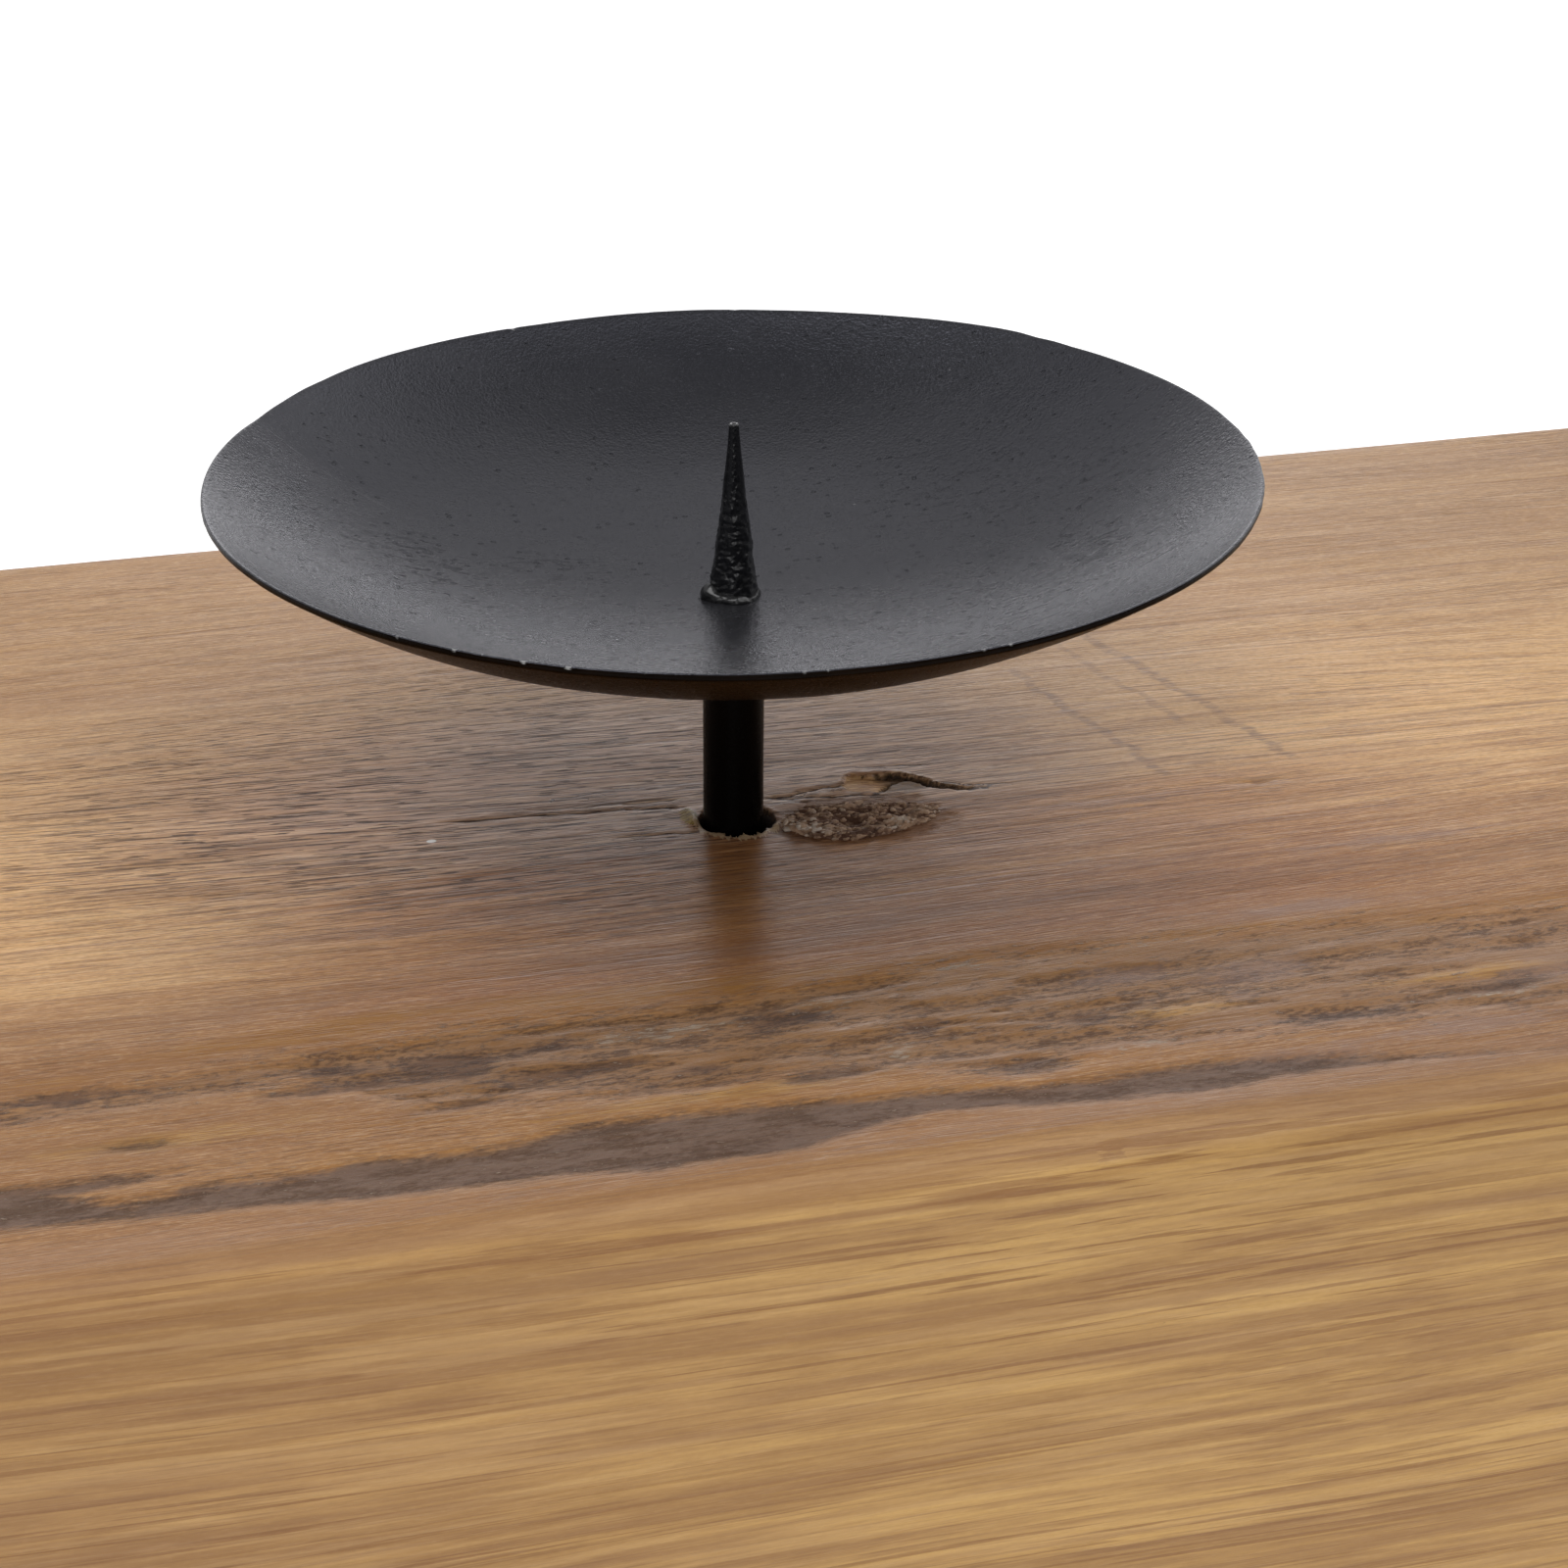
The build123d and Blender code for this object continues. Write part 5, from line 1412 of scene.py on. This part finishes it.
# ---------------------------------------------------------------- floor, light, camera
floor_mesh = bpy.data.meshes.new("floor")
floor_mesh.from_pydata([(-6, -6, 0), (6, -6, 0), (6, 6, 0), (-6, 6, 0)], [], [(0, 1, 2, 3)])
floor = bpy.data.objects.new("floor", floor_mesh)
floor.location.z = -0.0002
bpy.context.scene.collection.objects.link(floor)
floor_mat = bpy.data.materials.new("floor")
floor_mat.use_nodes = True
fb = floor_mat.node_tree.nodes["Principled BSDF"]
fb.inputs["Base Color"].default_value = (0.86, 0.86, 0.86, 1)
fb.inputs["Roughness"].default_value = 0.85
fb.inputs["Specular IOR Level"].default_value = 0.1
fb.inputs["Emission Color"].default_value = (1, 0.995, 0.99, 1)
ft = floor_mat.node_tree
f_co = ft.nodes.new("ShaderNodeTexCoord")
f_sep = ft.nodes.new("ShaderNodeSeparateXYZ")
ft.links.new(f_co.outputs["Object"], f_sep.inputs[0])
f_map = ft.nodes.new("ShaderNodeMapRange")
f_map.interpolation_type = "SMOOTHSTEP"
for key, value in (("From Min", -0.35), ("From Max", 0.05), ("To Min", 0.0), ("To Max", 0.5)):
    f_map.inputs[key].default_value = value
ft.links.new(f_sep.outputs[1], f_map.inputs["Value"])
ft.links.new(f_map.outputs["Result"], fb.inputs["Emission Strength"])
floor_mesh.materials.append(floor_mat)

world = bpy.data.worlds.new("studio")
bpy.context.scene.world = world
world.use_nodes = True
nt = world.node_tree
nt.nodes.clear()
w_out = nt.nodes.new("ShaderNodeOutputWorld")
w_bg = nt.nodes.new("ShaderNodeBackground")
w_co = nt.nodes.new("ShaderNodeTexCoord")
w_sep = nt.nodes.new("ShaderNodeSeparateXYZ")
nt.links.new(w_co.outputs["Generated"], w_sep.inputs[0])


def sky(stops):
    node = nt.nodes.new("ShaderNodeValToRGB")
    nt.links.new(w_sep.outputs[2], node.inputs[0])
    ramp = node.color_ramp
    ramp.interpolation = "EASE"
    while len(ramp.elements) < len(stops):
        ramp.elements.new(0.5)
    for e, (p, v) in zip(ramp.elements, stops):
        e.position = p
        e.color = (v * 0.995, v * 0.985, v * 1.01, 1)
    return node.outputs[0]


behind = sky([(0.0, 1.4), (0.10, 2.0), (0.220, 3.90), (0.300, 0.74), (0.42, 0.50), (0.64, 0.93), (0.88, 0.34), (1.0, 0.30)])
beside = sky([(0.0, 0.84), (0.10, 0.86), (0.20, 0.82), (0.31, 0.54), (0.42, 0.50), (0.64, 0.93), (0.88, 0.34), (1.0, 0.30)])
before = sky([(0.0, 0.16), (0.35, 0.21), (0.66, 0.38), (0.84, 0.74), (1.0, 0.78)])
w_map = nt.nodes.new("ShaderNodeMapRange")
w_map.interpolation_type = "SMOOTHSTEP"
w_map.inputs["From Min"].default_value = -0.45
w_map.inputs["From Max"].default_value = 0.32
nt.links.new(w_sep.outputs[1], w_map.inputs["Value"])
w_mix = nt.nodes.new("ShaderNodeMix")
w_mix.data_type = "RGBA"
nt.links.new(w_map.outputs["Result"], w_mix.inputs[0])
w_map2 = nt.nodes.new("ShaderNodeMapRange")
w_map2.interpolation_type = "SMOOTHSTEP"
w_map2.inputs["From Min"].default_value = 0.08
w_map2.inputs["From Max"].default_value = 0.34
w_dot = nt.nodes.new("ShaderNodeVectorMath")
w_dot.operation = "DOT_PRODUCT"
w_dot.inputs[1].default_value = (0.963, -0.270, 0)
nt.links.new(w_co.outputs["Generated"], w_dot.inputs[0])
w_abs = nt.nodes.new("ShaderNodeMath")
w_abs.operation = "ABSOLUTE"
nt.links.new(w_dot.outputs["Value"], w_abs.inputs[0])
nt.links.new(w_abs.outputs[0], w_map2.inputs["Value"])
w_mix2 = nt.nodes.new("ShaderNodeMix")
w_mix2.data_type = "RGBA"
nt.links.new(w_map2.outputs["Result"], w_mix2.inputs[0])
nt.links.new(behind, w_mix2.inputs[6])
nt.links.new(beside, w_mix2.inputs[7])
nt.links.new(before, w_mix.inputs[6])
nt.links.new(w_mix2.outputs[2], w_mix.inputs[7])
nt.links.new(w_mix.outputs[2], w_bg.inputs[0])
nt.links.new(w_bg.outputs[0], w_out.inputs[0])


def softbox(name, place, aim, size, power):
    data = bpy.data.lights.new(name, "AREA")
    data.shape = "SQUARE"
    data.size = size
    data.energy = power
    lamp = bpy.data.objects.new(name, data)
    lamp.location = place
    lamp.rotation_euler = (Vector(aim) - Vector(place)).to_track_quat("-Z", "Y").to_euler()
    bpy.context.scene.collection.objects.link(lamp)


softbox("softbox_left", (-0.55, -0.35, 1.10), (0, 0, 0.08), 0.7, 5.0)
softbox("softbox_top", (0.50, -0.45, 1.10), (0, 0, 0.08), 0.7, 2.6)
softbox("softbox_right", (1.25, 0.25, 0.80), (0, 0, 0.08), 1.0, 3.2)
softbox("softbox_front", (-0.35, -1.25, 0.50), (0, 0, 0.06), 0.8, 2.7)

cam_data = bpy.data.cameras.new("camera")
cam_data.sensor_width = 36
cam_data.sensor_fit = "HORIZONTAL"
cam_data.lens = 76.545
cam_data.clip_start = 0.01
cam_data.clip_end = 50
cam = bpy.data.objects.new("camera", cam_data)
bpy.context.scene.collection.objects.link(cam)
right = Vector((0.96276347, -0.27022055, 0.00820643))
down = Vector((-0.10825898, -0.4131736, -0.90419443))
ahead = Vector((0.2477226, 0.86963695, -0.42704225))
turn = Matrix((right, -down, -ahead)).transposed().to_4x4()
cam.matrix_world = Matrix.Translation(Vector((SX - 77.386, SY - 290.098, TOP + 145.63)) * MM) @ turn
bpy.context.scene.camera = cam
bpy.context.scene.view_settings.view_transform = "Standard"
bpy.context.scene.view_settings.look = "None"
bpy.context.scene.cycles.use_denoising = True
